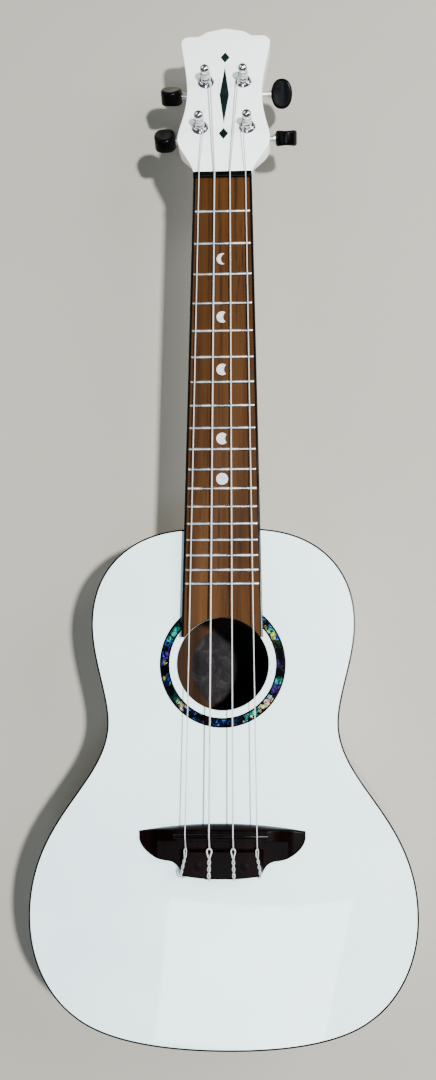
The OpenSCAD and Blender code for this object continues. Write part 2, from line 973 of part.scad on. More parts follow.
top();
back();
side(-1);  // side_bass
side(1);  // side_treble
linings();
neck_block();
tail_block();
top_braces();
fan_braces();
bridge_plate();
back_braces();
soundhole_ring();
rosette();
rosette_lines();
binding_top();
binding_back();
label();
neck();
headstock();
head_inlay();
fingerboard();
fingerboard_binding();
frets();
fret_markers();
nut();
bridge();
saddle();
bridge_screws();
string(0);  // string_g
string(1);  // string_c
string(2);  // string_e
string(3);  // string_a
tuner_plates();
plate_screws();
post_bushings();
tuner_washers();
knob(0);  // knob_g
worm(0);  // worm_g
post(0);  // post_g
gear(0);  // gear_g
gear_screw(0);  // gear_screw_g
winding(0);  // winding_g
knob(1);  // knob_c
worm(1);  // worm_c
post(1);  // post_c
gear(1);  // gear_c
gear_screw(1);  // gear_screw_c
winding(1);  // winding_c
knob(2);  // knob_e
worm(2);  // worm_e
post(2);  // post_e
gear(2);  // gear_e
gear_screw(2);  // gear_screw_e
winding(2);  // winding_e
knob(3);  // knob_a
worm(3);  // worm_a
post(3);  // post_a
gear(3);  // gear_a
gear_screw(3);  // gear_screw_a
winding(3);  // winding_a
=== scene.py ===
"""Looks of the concert ukulele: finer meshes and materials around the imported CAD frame."""
import json
import math
from math import atan2, copysign, cos, radians, sin, sqrt

import bmesh
import bpy
import numpy as np
from mathutils import Matrix, Vector


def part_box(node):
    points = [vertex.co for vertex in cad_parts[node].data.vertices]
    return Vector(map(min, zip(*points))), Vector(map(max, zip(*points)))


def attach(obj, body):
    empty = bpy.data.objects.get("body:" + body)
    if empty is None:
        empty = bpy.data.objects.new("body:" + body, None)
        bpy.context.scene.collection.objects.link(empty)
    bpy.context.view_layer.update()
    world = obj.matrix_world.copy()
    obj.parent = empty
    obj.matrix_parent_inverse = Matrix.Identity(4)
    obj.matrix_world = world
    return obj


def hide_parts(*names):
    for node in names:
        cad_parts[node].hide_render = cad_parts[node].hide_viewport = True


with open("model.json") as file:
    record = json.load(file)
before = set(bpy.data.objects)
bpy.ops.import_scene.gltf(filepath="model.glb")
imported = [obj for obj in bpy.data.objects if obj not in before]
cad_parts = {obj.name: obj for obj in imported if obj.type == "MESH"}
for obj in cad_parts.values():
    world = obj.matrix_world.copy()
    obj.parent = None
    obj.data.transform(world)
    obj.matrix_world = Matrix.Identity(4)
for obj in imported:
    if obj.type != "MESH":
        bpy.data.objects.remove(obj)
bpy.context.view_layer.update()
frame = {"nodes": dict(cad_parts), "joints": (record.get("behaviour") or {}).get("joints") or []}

MM = 0.001
PI = math.pi
TUNERS = ("g", "c", "e", "a")

# ---- places, in millimetres


def box(node):
    """Lowest and highest corner of a CAD node, in millimetres."""
    low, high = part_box(node)
    return np.array(low) / MM, np.array(high) / MM


JOINTS = {joint["name"]: joint for joint in frame["joints"]}

TOP_LOW, TOP_HIGH = box("binding_top")
DECK_Z = TOP_HIGH[2]
UNDER_Z = TOP_LOW[2]
PLATE_T = DECK_Z - UNDER_Z
TAIL_Y = TOP_LOW[1]
BODY_LEN = TOP_HIGH[1] - TOP_LOW[1]
LOWER_HALF = TOP_HIGH[0]
UPPER_HALF = 76.9
WAIST_HALF = 66.8
SIDE_T = 1.8
BINDING_W = 1.0

NUT_LOW, NUT_HIGH = box("nut")
NUT_Y = NUT_LOW[1]
NUT_HALF = NUT_HIGH[0]
NUT_BACK = NUT_HIGH[1]
BOARD_LOW, BOARD_HIGH = box("fingerboard_binding")
BOARD_TOP = BOARD_HIGH[2]
BOARD_END_Y = BOARD_LOW[1]
BOARD_END_HALF = BOARD_HIGH[0]
BOARD_BINDING = 1.4
SCALE_LEN = 381.0
FRETS = 18
FRET_H = 1.0

ROSETTE_LOW, ROSETTE_HIGH = box("rosette")
HOLE = (ROSETTE_LOW + ROSETTE_HIGH) / 2
ROSETTE_OUT = ROSETTE_HIGH[0]
SHELL_W = 4.3
ROSETTE_IN = ROSETTE_OUT - SHELL_W
ROSETTE_LINE = box("rosette_lines")[1][0] - ROSETTE_OUT
HOLE_R = 26.75

BRIDGE_LOW, BRIDGE_HIGH = box("bridge")
BRIDGE_FRONT = BRIDGE_HIGH[1]
BRIDGE_LEN = BRIDGE_HIGH[1] - BRIDGE_LOW[1]
BRIDGE_HALF = BRIDGE_HIGH[0]
BRIDGE_H = BRIDGE_HIGH[2] - DECK_Z
SADDLE_LOW, SADDLE_HIGH = box("saddle")
SADDLE_Y = (SADDLE_LOW[1] + SADDLE_HIGH[1]) / 2

HEAD_NORMAL = np.array(JOINTS["post_turn_g"]["axis"])
HEAD_UP = np.array([0.0, HEAD_NORMAL[2], -HEAD_NORMAL[1]])
HEAD_BEYOND_NUT = 6.0
HEAD_RISE = 3.5
HEAD_ORIGIN = np.array([0.0, NUT_Y + HEAD_BEYOND_NUT, DECK_Z + HEAD_RISE])
HEAD_LEN = 113.4
HEAD_T = 10.5
HEAD_START = -2.6

STRING_R = {"g": 0.31, "c": 0.44, "e": 0.38, "a": 0.31}
NUT_PITCH = 9.4
SADDLE_PITCH = 13.4
STRING_OVER_FRET = 0.5
SLOT_Z = BOARD_TOP + FRET_H + STRING_OVER_FRET


def head_point(across, along, out):
    """A place given across, along and out of the head's face."""
    return HEAD_ORIGIN + np.array([across, 0, 0]) + HEAD_UP * along + HEAD_NORMAL * out


def head_matrix(across=0.0, along=0.0, flip=False):
    """Matrix, in metres, from the head's own frame to the model."""
    axes = np.column_stack([(-1.0 if flip else 1.0, 0, 0), HEAD_UP, HEAD_NORMAL])
    matrix = Matrix(axes.tolist()).to_4x4()
    matrix.translation = Vector(head_point(across, along, 0) * MM)
    return matrix


def post_place(name):
    """Across and along the head, of a tuner's post."""
    place = np.array(JOINTS["post_turn_" + name]["pos_m"]) / MM - HEAD_ORIGIN
    return place[0], float(place @ HEAD_UP)


def worm_place(name):
    """Along and out of the head from the post, of a tuner's worm."""
    place = np.array(JOINTS["knob_turn_" + name]["pos_m"]) / MM - HEAD_ORIGIN
    return float(place @ HEAD_UP) - post_place(name)[1], float(place @ HEAD_NORMAL)


# ---- materials


class Shade:
    """A procedural material under construction."""

    def __init__(self, name, roughness=0.4, metallic=0.0, shine=0.5, **sockets):
        self.material = bpy.data.materials.new(name)
        self.material.use_nodes = True
        self.tree = self.material.node_tree
        self.surface = self.tree.nodes["Principled BSDF"]
        sockets.update(Roughness=roughness, Metallic=metallic, Specular_IOR_Level=shine)
        for socket, value in sockets.items():
            self.set(socket.replace("_", " "), value)
        self.coords = self.tree.nodes.new("ShaderNodeTexCoord").outputs["Object"]

    def feed(self, socket, value):
        """Links a socket to a node's output, or sets its constant."""
        if isinstance(value, bpy.types.NodeSocket):
            self.tree.links.new(value, socket)
        else:
            socket.default_value = (*value, 1.0) if socket.type == "RGBA" else value

    def set(self, socket, value):
        self.feed(self.surface.inputs[socket], value)

    def node(self, kind, output=0, **inputs):
        """Adds a node: p_name sets a property, i3 the input of that index."""
        node = self.tree.nodes.new("ShaderNode" + kind)
        for name, value in inputs.items():
            if name.startswith("p_"):
                setattr(node, name[2:], value)
            else:
                self.feed(node.inputs[int(name[1:]) if name[1:].isdigit() else name], value)
        return node.outputs[output]

    def stretched(self, scale, turn=(0, 0, 0)):
        return self.node("Mapping", Vector=self.coords, Scale=scale, Rotation=turn)

    def noise(self, scale, detail=4.0, rough=0.55, vector=None, distortion=0.0, output=0):
        return self.node("TexNoise", output, Vector=vector or self.coords, Scale=scale,
                         Detail=detail, Roughness=rough, Distortion=distortion)

    def ramp(self, value, stops, interpolation="LINEAR"):
        node = self.tree.nodes.new("ShaderNodeValToRGB")
        node.color_ramp.interpolation = interpolation
        elements = node.color_ramp.elements
        while len(elements) < len(stops):
            elements.new(0.5)
        for element, (place, colour) in zip(elements, stops):
            element.position = place
            element.color = (*colour, 1.0)
        self.feed(node.inputs["Fac"], value)
        return node.outputs["Color"]

    def range(self, value, low, high, out_low, out_high):
        return self.node("MapRange", Value=value, i1=low, i2=high, i3=out_low, i4=out_high)

    def math(self, operation, a, b):
        return self.node("Math", p_operation=operation, i0=a, i1=b)

    def mix(self, factor, a, b, blend="MIX"):
        return self.node("Mix", 2, p_data_type="RGBA", p_blend_type=blend,
                         i0=factor, i6=a, i7=b)

    def fade(self, value, low, high, a, b, most=1.0):
        """Mixes from a towards b as value runs from low to high."""
        return self.mix(self.range(value, low, high, 0.0, most), a, b)

    def bump(self, height, distance, strength):
        self.set("Normal", self.node("Bump", Height=height, Distance=distance,
                                     Strength=strength))


def lacquer(name, low, high, pearl=False):
    """Sprayed gloss finish: faint colour drift, orange peel, and mica flakes where pearly."""
    shade = Shade(name, roughness=0.35, shine=0.3, Coat_Weight=1.0, Coat_Roughness=0.035,
                  Coat_IOR=1.5)
    colour = shade.fade(shade.noise(9.0, detail=3.0), 0.35, 0.65, low, high)
    if pearl:
        flakes = shade.node("TexVoronoi", 1, Vector=shade.coords, Scale=2600.0)
        colour = shade.mix(0.05, colour, flakes, "SOFT_LIGHT")
        shade.set("Sheen Weight", 0.1)
        shade.set("Sheen Tint", (0.75, 0.95, 1.0))
    shade.set("Base Color", colour)
    shade.bump(shade.noise(240.0, detail=2.0), 0.00002, 0.25)
    return shade.material


def timber(name, dark, mid, light, streak=1.0, grain=1.0, roughness=0.5, shine=0.4,
           turn=(0, 0, 0)):
    """Wood with its grain along Y: broad bands, dark streaks, fine pores."""
    shade = Shade(name, shine=shine)
    along = shade.stretched((1.0, 0.035, 1.0), turn)
    band = shade.noise(70.0 * grain, detail=5.0, rough=0.6, vector=along, distortion=0.6)
    colour = shade.ramp(band, [(0.30, dark), (0.50, mid), (0.72, light)])
    line = shade.noise(210.0 * grain, detail=6.0, rough=0.7, vector=along, distortion=0.3)
    colour = shade.fade(line, 0.52, 0.66, colour, tuple(c * 0.32 for c in dark), 0.75 * streak)
    pores = shade.node("TexVoronoi", 0, Vector=shade.stretched((1.0, 0.08, 1.0), turn),
                       Scale=1500.0 * grain)
    pits = shade.range(pores, 0.05, 0.22, 0.55, 0.0)
    colour = shade.mix(pits, colour, tuple(c * 0.4 for c in dark))
    shade.set("Base Color", colour)
    shade.set("Roughness", shade.range(line, 0.2, 0.8, roughness + 0.08, roughness - 0.08))
    relief = shade.math("SUBTRACT", shade.math("MULTIPLY", line, 0.4), pits)
    shade.bump(relief, 0.00006, 0.6)
    return shade.material


JET = (0.0008, 0.0008, 0.0009)


def polished(name, roughness, shine, tint=JET):
    """Dark polished plastic or stained wood with faint handling marks."""
    shade = Shade(name, shine=shine)
    marks = shade.noise(90.0, detail=6.0, rough=0.65)
    shade.set("Base Color", shade.fade(marks, 0.4, 0.7, tint, tuple(c * 2.0 for c in tint)))
    shade.set("Roughness", shade.range(marks, 0.3, 0.7, roughness * 0.7, roughness * 1.5))
    shade.bump(shade.noise(500.0, detail=2.0), 0.00002, 0.2)
    return shade.material


def plated(name, low, high, roughness, brushed=0.0):
    """Plated or turned metal with slight cloudiness."""
    shade = Shade(name, metallic=1.0)
    cloud = shade.noise(120.0, detail=5.0)
    shade.set("Base Color", shade.fade(cloud, 0.35, 0.65, low, high))
    shade.set("Roughness", shade.range(cloud, 0.3, 0.7, roughness * 0.6, roughness * 1.6))
    lines = shade.noise(900.0, detail=2.0, vector=shade.stretched((1.0, 1.0, 0.1)))
    shade.bump(lines, 0.00002, 0.1 + brushed)
    return shade.material


SHELL_HUES = (
    (0.0, (0.0008, 0.0008, 0.0010)), (0.34, (0.003, 0.004, 0.026)),
    (0.46, (0.002, 0.028, 0.038)), (0.54, (0.006, 0.27, 0.25)), (0.61, (0.006, 0.015, 0.20)),
    (0.69, (0.008, 0.12, 0.46)), (0.76, (0.02, 0.40, 0.27)), (0.84, (0.45, 0.52, 0.08)),
    (0.87, (0.58, 0.10, 0.17)), (0.92, (0.04, 0.015, 0.14)), (0.98, (0.55, 0.48, 0.24)))


def abalone():
    """Shell chips of two sizes in blue, teal, green, yellow and pink, with bare black between."""
    shade = Shade("abalone_shell", roughness=0.18, shine=0.05)
    warp = shade.noise(260.0, detail=4.0, output=1)
    shifted = shade.mix(0.006, shade.coords, warp, "ADD")
    layers = []
    for scale in (150.0, 330.0):
        chips = shade.node("TexVoronoi", 1, Vector=shifted, Scale=scale)
        pick = shade.node("SeparateColor", 0, Color=chips)
        layers.append(shade.ramp(pick, SHELL_HUES, "CONSTANT"))
    patches = shade.noise(240.0, detail=3.0, rough=0.6)
    colour = shade.fade(patches, 0.47, 0.51, *layers)
    bare = shade.noise(75.0, detail=2.0)
    colour = shade.fade(bare, 0.53, 0.58, colour, (0.0010, 0.0010, 0.0016), 0.93)
    cracks = shade.node("TexVoronoi", 0, Vector=shifted, Scale=280.0,
                        p_feature="DISTANCE_TO_EDGE")
    colour = shade.mix(shade.range(cracks, 0.03, 0.14, 0.95, 0.0), colour,
                       (0.0008, 0.0008, 0.0010))
    vein = shade.noise(800.0, detail=5.0, rough=0.7, vector=shifted, distortion=1.2)
    veins = shade.ramp(vein, [(0.36, (0.05, 0.05, 0.06)), (0.52, (0.45, 0.5, 0.55)),
                              (0.66, (1.1, 1.1, 1.0))])
    shade.set("Base Color", shade.mix(0.9, colour, veins, "MULTIPLY"))
    shade.bump(vein, 0.00003, 0.3)
    return shade.material


def mother_of_pearl():
    shade = Shade("mother_of_pearl", roughness=0.2, Coat_Weight=0.8, Coat_Roughness=0.05)
    cloud = shade.noise(420.0, detail=4.0, distortion=1.0)
    shade.set("Base Color", shade.ramp(cloud, [
        (0.3, (0.26, 0.31, 0.40)), (0.5, (0.44, 0.46, 0.48)), (0.7, (0.52, 0.44, 0.48))]))
    shade.bump(cloud, 0.00003, 0.2)
    return shade.material


def clear_nylon():
    shade = Shade("clear_nylon", Transmission_Weight=0.3, IOR=1.45)
    haze = shade.noise(300.0, detail=3.0)
    shade.set("Base Color", shade.mix(haze, (0.42, 0.435, 0.43), (0.50, 0.505, 0.495)))
    shade.set("Roughness", shade.range(haze, 0.3, 0.7, 0.26, 0.36))
    return shade.material


def label_print_and_shade():
    """Plain mottled grey disc, darker towards the treble side: print and painted shade."""
    shade = Shade("label_print_and_shade", roughness=0.8, shine=0.1)
    cloud = shade.noise(95.0, detail=9.0, rough=0.72, distortion=0.8)
    mottle = shade.ramp(cloud, [(0.32, (0.0034, 0.0028, 0.0034)),
                                (0.5, (0.0100, 0.0086, 0.0096)), (0.68, (0.030, 0.027, 0.029))])
    # Painted shade from the soundhole's rim, together with the print's own dark half, darkens the
    # treble side.
    across = shade.node("SeparateXYZ", 0, Vector=shade.coords)
    dark = (0.001, 0.001, 0.001)
    shade.set("Base Color", shade.fade(across, 0.0, 0.0045, mottle, dark, 0.96))
    shade.bump(shade.noise(1800.0, detail=3.0), 0.00003, 0.3)
    return shade.material


def floor_finish():
    shade = Shade("studio_floor", roughness=0.85, shine=0.15)
    cloud = shade.noise(3.0, detail=2.0)
    shade.set("Base Color", shade.mix(cloud, (0.250, 0.236, 0.202), (0.275, 0.260, 0.224)))
    return shade.material


PEARL = lacquer("pearl_white_lacquer", (0.57, 0.74, 0.755), (0.64, 0.795, 0.80), pearl=True)
WHITE = lacquer("white_lacquer", (0.80, 0.88, 0.86), (0.85, 0.91, 0.89))
BARE_WOOD = timber(
    "bare_inner_wood", (0.013, 0.0052, 0.0014), (0.026, 0.0106, 0.0032),
    (0.044, 0.0190, 0.0064), streak=0.5, roughness=0.75, shine=0.1)
BRACE_WOOD = timber(
    "brace_wood", (0.32, 0.20, 0.10), (0.46, 0.31, 0.17), (0.56, 0.40, 0.24), streak=0.35,
    roughness=0.75)
WALNUT = timber(
    "walnut_board", (0.021, 0.0074, 0.0013), (0.037, 0.0138, 0.0025), (0.054, 0.0222, 0.0050),
    streak=1.2, grain=1.5, roughness=0.6, shine=0.06)
ROSEWOOD = timber(
    "dark_bridge_wood", (0.0007, 0.0002, 0.0002), (0.0017, 0.0004, 0.0003),
    (0.0048, 0.0011, 0.0006), streak=0.8, roughness=0.3, shine=0.03, turn=(0, 0, PI / 2))
BLACK = polished("black_gloss", 0.24, 0.05)
BINDING = polished("black_binding", 0.2, 0.06)
PLUG = polished("plug_wood", 0.6, 0.04, (0.0007, 0.0005, 0.0004))
DARK_INLAY = polished("dark_green_inlay", 0.4, 0.08, (0.0012, 0.0050, 0.0044))
CHROME = plated("chrome_plate", (0.50, 0.51, 0.53), (0.64, 0.65, 0.66), 0.08)
SATIN = plated("satin_shaft", (0.74, 0.75, 0.77), (0.86, 0.87, 0.88), 0.30)
NICKEL = plated("nickel_fret", (0.40, 0.395, 0.38), (0.50, 0.49, 0.47), 0.34, 0.15)
BRASS = plated("gear_brass", (0.52, 0.35, 0.13), (0.68, 0.50, 0.22), 0.25, 0.2)
ABALONE = abalone()
PEARL_INLAY = mother_of_pearl()
NYLON = clear_nylon()
LABEL = label_print_and_shade()

# ---- mesh helpers


def add_object(name, data):
    obj = bpy.data.objects.new(name, data)
    bpy.context.scene.collection.objects.link(obj)
    return obj


def piece(name, shape, materials, node=None, slot=None, body="root", matrix=None,
          face_material=None, sharp=35.0, weld=0.0):
    """Makes a shaded mesh from (points in mm, faces).

    The slot argument is not used.
    """
    verts, faces = shape
    mesh = bpy.data.meshes.new(name)
    mesh.from_pydata([tuple(float(c) * MM for c in v) for v in verts], [], faces)
    for material in materials if isinstance(materials, list) else [materials]:
        mesh.materials.append(material)
    work = bmesh.new()
    work.from_mesh(mesh)
    if weld:
        bmesh.ops.remove_doubles(work, verts=work.verts, dist=weld * MM)
    if matrix is not None:
        bmesh.ops.transform(work, matrix=matrix, verts=work.verts)
    bmesh.ops.recalc_face_normals(work, faces=work.faces)
    for face in work.faces:
        face.smooth = True
        if face_material:
            face.material_index = face_material(face)
    work.to_mesh(mesh)
    work.free()
    mesh.set_sharp_from_angle(angle=radians(sharp))
    obj = add_object(name, mesh)
    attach(obj, body)
    if node:
        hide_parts(node)
    return obj


def grid_faces(rows, columns, wrap_rows=False, wrap_columns=True, start=0):
    faces = []
    for i in range(rows if wrap_rows else rows - 1):
        for j in range(columns if wrap_columns else columns - 1):
            a, b = i, (i + 1) % rows
            c, d = j, (j + 1) % columns
            faces.append((start + a * columns + c, start + b * columns + c,
                          start + b * columns + d, start + a * columns + d))
    return faces


def loft(rings, wrap=False):
    """Points and faces of a skin over closed rings, capped unless it wraps round."""
    count = len(rings[0])
    verts = [point for ring in rings for point in ring]
    faces = grid_faces(len(rings), count, wrap_rows=wrap)
    if not wrap:
        faces.append(tuple(range(count)))
        faces.append(tuple(range(len(verts) - count, len(verts))))
    return verts, faces


def join(*shapes):
    """Joins several (points, faces) pairs into one."""
    verts, faces = [], []
    for more_verts, more_faces in shapes:
        base = len(verts)
        verts.extend(more_verts)
        faces.extend(tuple(base + i for i in face) for face in more_faces)
    return verts, faces


def circle(radius, centre=(0, 0), steps=96):
    return [(centre[0] + radius * cos(2 * PI * i / steps),
             centre[1] + radius * sin(2 * PI * i / steps)) for i in range(steps)]


def lathe(profile, steps=64, centre=(0, 0), wrap=False):
    """Turns (radius, height) pairs about an upright line."""
    rings = [[(x, y, z) for x, y in circle(radius, centre, steps)] for radius, z in profile]
    return loft(rings, wrap=wrap)


def along_x(shape):
    """Lays a shape that was turned about Z along X."""
    verts, faces = shape
    return [(z, x, y) for x, y, z in verts], faces


def moved(shape, offset):
    verts, faces = shape
    return [tuple(np.add(v, offset)) for v in verts], faces


def tube(path, radius, sides=12):
    """A round cord along a path, with frames carried along it."""
    path = np.array(path, float)
    tangents = np.gradient(path, axis=0)
    tangents /= np.linalg.norm(tangents, axis=1)[:, None]
    side = np.cross(tangents[0], (1.0, 0.0, 0.0))
    if np.linalg.norm(side) < 0.1:
        side = np.cross(tangents[0], (0.0, 0.0, 1.0))
    rings = []
    for point, tangent in zip(path, tangents):
        side = side - tangent * (side @ tangent)
        side /= np.linalg.norm(side)
        up = np.cross(tangent, side)
        rings.append([point + radius * (side * cos(a) + up * sin(a))
                      for a in np.linspace(0, 2 * PI, sides, endpoint=False)])
    return loft(rings)


def smooth_path(points, step=0.6):
    """A Catmull-Rom curve through given points."""
    points = [np.array(p, float) for p in points]
    points = [2 * points[0] - points[1]] + points + [2 * points[-1] - points[-2]]
    path = []
    for p0, p1, p2, p3 in zip(points, points[1:], points[2:], points[3:]):
        length = np.linalg.norm(p2 - p1)
        count = max(2, int(length / step))
        for t in np.arange(count) / count:
            path.append(0.5 * (2 * p1 + (p2 - p0) * t + (2 * p0 - 5 * p1 + 4 * p2 - p3) * t ** 2
                               + (3 * p1 - p0 - 3 * p2 + p3) * t ** 3))
    path.append(points[-2])
    return path


def slab(name, loops, z0, z1, edge, material, **options):
    """A plate cut to 2D loops, with rounded edges."""
    data = bpy.data.curves.new(name + "_outline", "CURVE")
    data.dimensions = "2D"
    data.fill_mode = "BOTH"
    data.extrude = ((z1 - z0) / 2 - edge) * MM
    data.bevel_depth = edge * MM
    data.bevel_resolution = 3
    data.offset = -edge * MM
    for loop in loops:
        spline = data.splines.new("POLY")
        spline.points.add(len(loop) - 1)
        for point, (x, y) in zip(spline.points, loop):
            point.co = (x * MM, y * MM, 0, 1)
        spline.use_cyclic_u = True
    source = add_object(name + "_outline", data)
    graph = bpy.context.evaluated_depsgraph_get()
    mesh = bpy.data.meshes.new_from_object(source.evaluated_get(graph))
    lift = (z0 + z1) / 2
    verts = [(v.co.x / MM, v.co.y / MM, v.co.z / MM + lift) for v in mesh.vertices]
    faces = [tuple(p.vertices) for p in mesh.polygons]
    bpy.data.objects.remove(source)
    bpy.data.curves.remove(data)
    bpy.data.meshes.remove(mesh)
    return piece(name, (verts, faces), material, weld=0.005, **options)


def chain(start, *curves):
    """Points along joined Bezier curves, each given by two handles, its end and a count."""
    points = []
    for *corners, count in curves:
        a, b, c, d = (np.array(p, float) for p in (start, *corners))
        points += [a * (1 - t) ** 3 + 3 * b * t * (1 - t) ** 2 + 3 * c * t * t * (1 - t)
                   + d * t ** 3 for t in np.arange(count) / count]
        start = d
    return points


def mirrored(half):
    """Closes a right half outline, which starts and ends on the centre line."""
    return [tuple(p) for p in half] + [(-p[0], p[1]) for p in reversed(half[1:-1])]


def smoothstep(low, high, value):
    t = np.clip((value - low) / (high - low), 0.0, 1.0)
    return t * t * (3 - 2 * t)


# ---- sound box


def body_half():
    """Right half of the body's outline, from the neck landing to the tail."""
    upper = np.array([UPPER_HALF, BODY_LEN - 54.8])
    waist = np.array([WAIST_HALF, 180.3])
    lower = np.array([LOWER_HALF, 74.0])
    shoulder = np.array([44.8, BODY_LEN - 4.9])
    corner = np.array([LOWER_HALF - 27.4, 17.1])
    landing = 22.7
    points = [np.array([x, BODY_LEN]) for x in np.linspace(0, landing, 9)[:-1]]
    points += chain(
        (landing, BODY_LEN),
        ((32.1, BODY_LEN - 0.8), shoulder - (6.4, -2.5), shoulder, 14),
        (shoulder + (15.6, -6.4), upper + (0, 28.7), upper, 26),
        (upper - (0, 20.5), waist + (0, 16), waist, 26),
        (waist - (0, 34.3), lower + (0, 53.8), lower, 40),
        (lower - (0, 28.3), corner + (13.7, 9.3), corner, 26),
        (corner - (14.6, 10.9), (40.5, 0), (0, 0), 34))
    points.append(np.array([0.0, 0.0]))
    return [p + (0, TAIL_Y) for p in points]


def inset_half(half, inset):
    """Moves a half outline inwards along its normals."""
    points = np.array(half)
    direction = np.gradient(points, axis=0)
    direction[0] = direction[-1] = 0
    direction[0][0], direction[-1][0] = 1, -1
    direction /= np.linalg.norm(direction, axis=1)[:, None]
    inward = np.column_stack([direction[:, 1], -direction[:, 0]])
    result = points + inset * inward
    result[0][0] = result[-1][0] = 0
    return [tuple(p) for p in result]


BODY_HALF = body_half()


def body_loop(inset):
    return mirrored(inset_half(BODY_HALF, inset))


def edge_ring(profile):
    """Sweeps a closed (inset, height) profile round the body."""
    rings = [[(x, y, z) for x, y in body_loop(inset)] for inset, z in profile]
    return loft(rings, wrap=True)


def deck_corner(start, edge):
    """Quarter round from the top's face down to its edge, as (distance, height)."""
    return [(start + edge - edge * sin(a), DECK_Z - edge + edge * cos(a))
            for a in np.linspace(0, PI / 2, 6)]


def build_top():
    """Plate with its soundhole, painted outside and bare inside."""
    outer = body_loop(BINDING_W)
    chamfer = 0.05
    rings = [[(x, y, UNDER_Z) for x, y in outer], [(x, y, DECK_Z - chamfer) for x, y in outer],
             [(x, y, DECK_Z) for x, y in body_loop(BINDING_W + chamfer)]]
    angles = [atan2(y - HOLE[1], x) for x, y in outer]
    for radius, z in deck_corner(HOLE_R, 0.5) + [(HOLE_R, UNDER_Z)]:
        rings.append([(radius * cos(a), HOLE[1] + radius * sin(a), z) for a in angles])

    def pick(face):
        return int(face.calc_center_median().z < (UNDER_Z + 0.1) * MM)

    piece("pearl_top", loft(rings, wrap=True), [PEARL, BARE_WOOD], node="top",
          slot="pearl_white", face_material=pick)


def build_back():
    """Flat plate, painted outside and bare inside."""
    loop = body_loop(BINDING_W)
    verts = [(x, y, z) for z in (0.0, 0.05, PLATE_T) for x, y in loop]
    count = len(loop)
    faces = grid_faces(3, count)
    half = len(BODY_HALF)
    left = [0] + list(range(count - 1, half - 1, -1)) + [half - 1]
    for base in (0, 2 * count):
        for i in range(half - 1):
            quad = [base + k for k in (i, i + 1, left[i + 1], left[i])]
            faces.append(tuple(dict.fromkeys(quad)))

    def pick(face):
        return int(face.calc_center_median().z > (PLATE_T - 0.05) * MM)

    piece("white_back", (verts, faces), [WHITE, BARE_WOOD], node="back",
          face_material=pick)


def build_bindings():
    """Black strips round both plates, rounded on their outer corner."""
    top = [(BINDING_W, UNDER_Z), (BINDING_W, DECK_Z)] + deck_corner(0.0, 0.3)
    top += [(0.0, UNDER_Z)]
    bottom = [(inset, PLATE_T - (z - UNDER_Z)) for inset, z in top]
    for plate, profile in (("top", top), ("back", bottom)):
        piece(plate + "_binding", edge_ring(profile), BINDING, node="binding_" + plate)


def build_sides():
    """Bent sides from neck to tail, painted outside and bare inside."""
    outer, inner = (np.array(inset_half(BODY_HALF, inset)) for inset in (0.0, SIDE_T))

    def gap(line, place):
        return np.min(np.hypot(line[:, 0] - abs(place.x), line[:, 1] - place.y))

    def pick(face):
        centre = face.calc_center_median() / MM
        upright = abs(face.normal.z) < 0.5
        return int(upright and gap(inner, centre) < 1.2 and gap(outer, centre) > SIDE_T * 0.6)

    for hand, node in ((1, "side_treble"), (-1, "side_bass")):
        rings = []
        for (xo, yo), (xi, yi) in zip(outer, inner):
            rings.append([(hand * xo, yo, PLATE_T), (hand * xo, yo, UNDER_Z),
                          (hand * xi, yi, UNDER_Z), (hand * xi, yi, PLATE_T)])
        piece(node + "_panel", loft(rings), [WHITE, BARE_WOOD], node=node,
              face_material=pick, sharp=40)


def flat_ring(inner, outer, rise=0.02):
    """A thin inlaid ring around the soundhole."""
    z = DECK_Z + rise
    sunk, chamfer = z - 0.6, 0.04
    profile = [(inner, sunk), (inner, z - chamfer), (inner + 0.06, z), (outer - 0.06, z),
               (outer, z - chamfer), (outer, sunk)]
    return lathe(profile, 240, (0, HOLE[1]), wrap=True)


def build_rosette():
    """Shell ring between two black lines, which overlap its edges."""
    lap, line_rise = 0.4, 0.03
    piece("abalone_ring", flat_ring(ROSETTE_IN, ROSETTE_OUT), ABALONE, node="rosette",
          slot="abalone", sharp=12)
    lines = join(flat_ring(ROSETTE_IN - ROSETTE_LINE, ROSETTE_IN + lap, line_rise),
                 flat_ring(ROSETTE_OUT - lap, ROSETTE_OUT + ROSETTE_LINE, line_rise))
    piece("rosette_black_lines", lines, BINDING, node="rosette_lines", sharp=12)


# ---- neck, head and board


def board_half_width(y):
    return NUT_HALF + (BOARD_END_HALF - NUT_HALF) * (NUT_Y - y) / (NUT_Y - BOARD_END_Y)


HEEL_RUN = 46.0
HEEL_FALL = 2.6
NECK_T = 14.0
NECK_SWELL, NECK_RUN = 2, 220
FULLNESS = 0.85
BODY_TOP_Y = TAIL_Y + BODY_LEN


def neck_ring(y, steps=48):
    """The neck's section, which deepens and sharpens into the heel at the body."""
    heel = max(0.0, 1 - (y - BODY_TOP_Y) / HEEL_RUN)
    depth = NECK_T + NECK_SWELL * (NUT_Y - y) / NECK_RUN
    depth += (DECK_Z - NECK_T - 4) * heel ** HEEL_FALL
    half = board_half_width(min(y, NUT_Y))
    ring = []
    for angle in np.linspace(0, PI, steps):
        c, s = cos(angle), sin(angle)
        x = half * copysign(abs(c) ** (FULLNESS + 0.6 * heel), c)
        ring.append((x, y, DECK_Z - depth * abs(s) ** FULLNESS))
    return ring


def build_neck():
    heel = [BODY_TOP_Y + HEEL_RUN * t for t in np.linspace(1, 0, 40)]
    stations = list(np.linspace(NUT_BACK, BODY_TOP_Y + HEEL_RUN, 24))[:-1] + heel
    piece("white_neck", loft([neck_ring(y) for y in stations]), WHITE, node="neck",
          sharp=50)


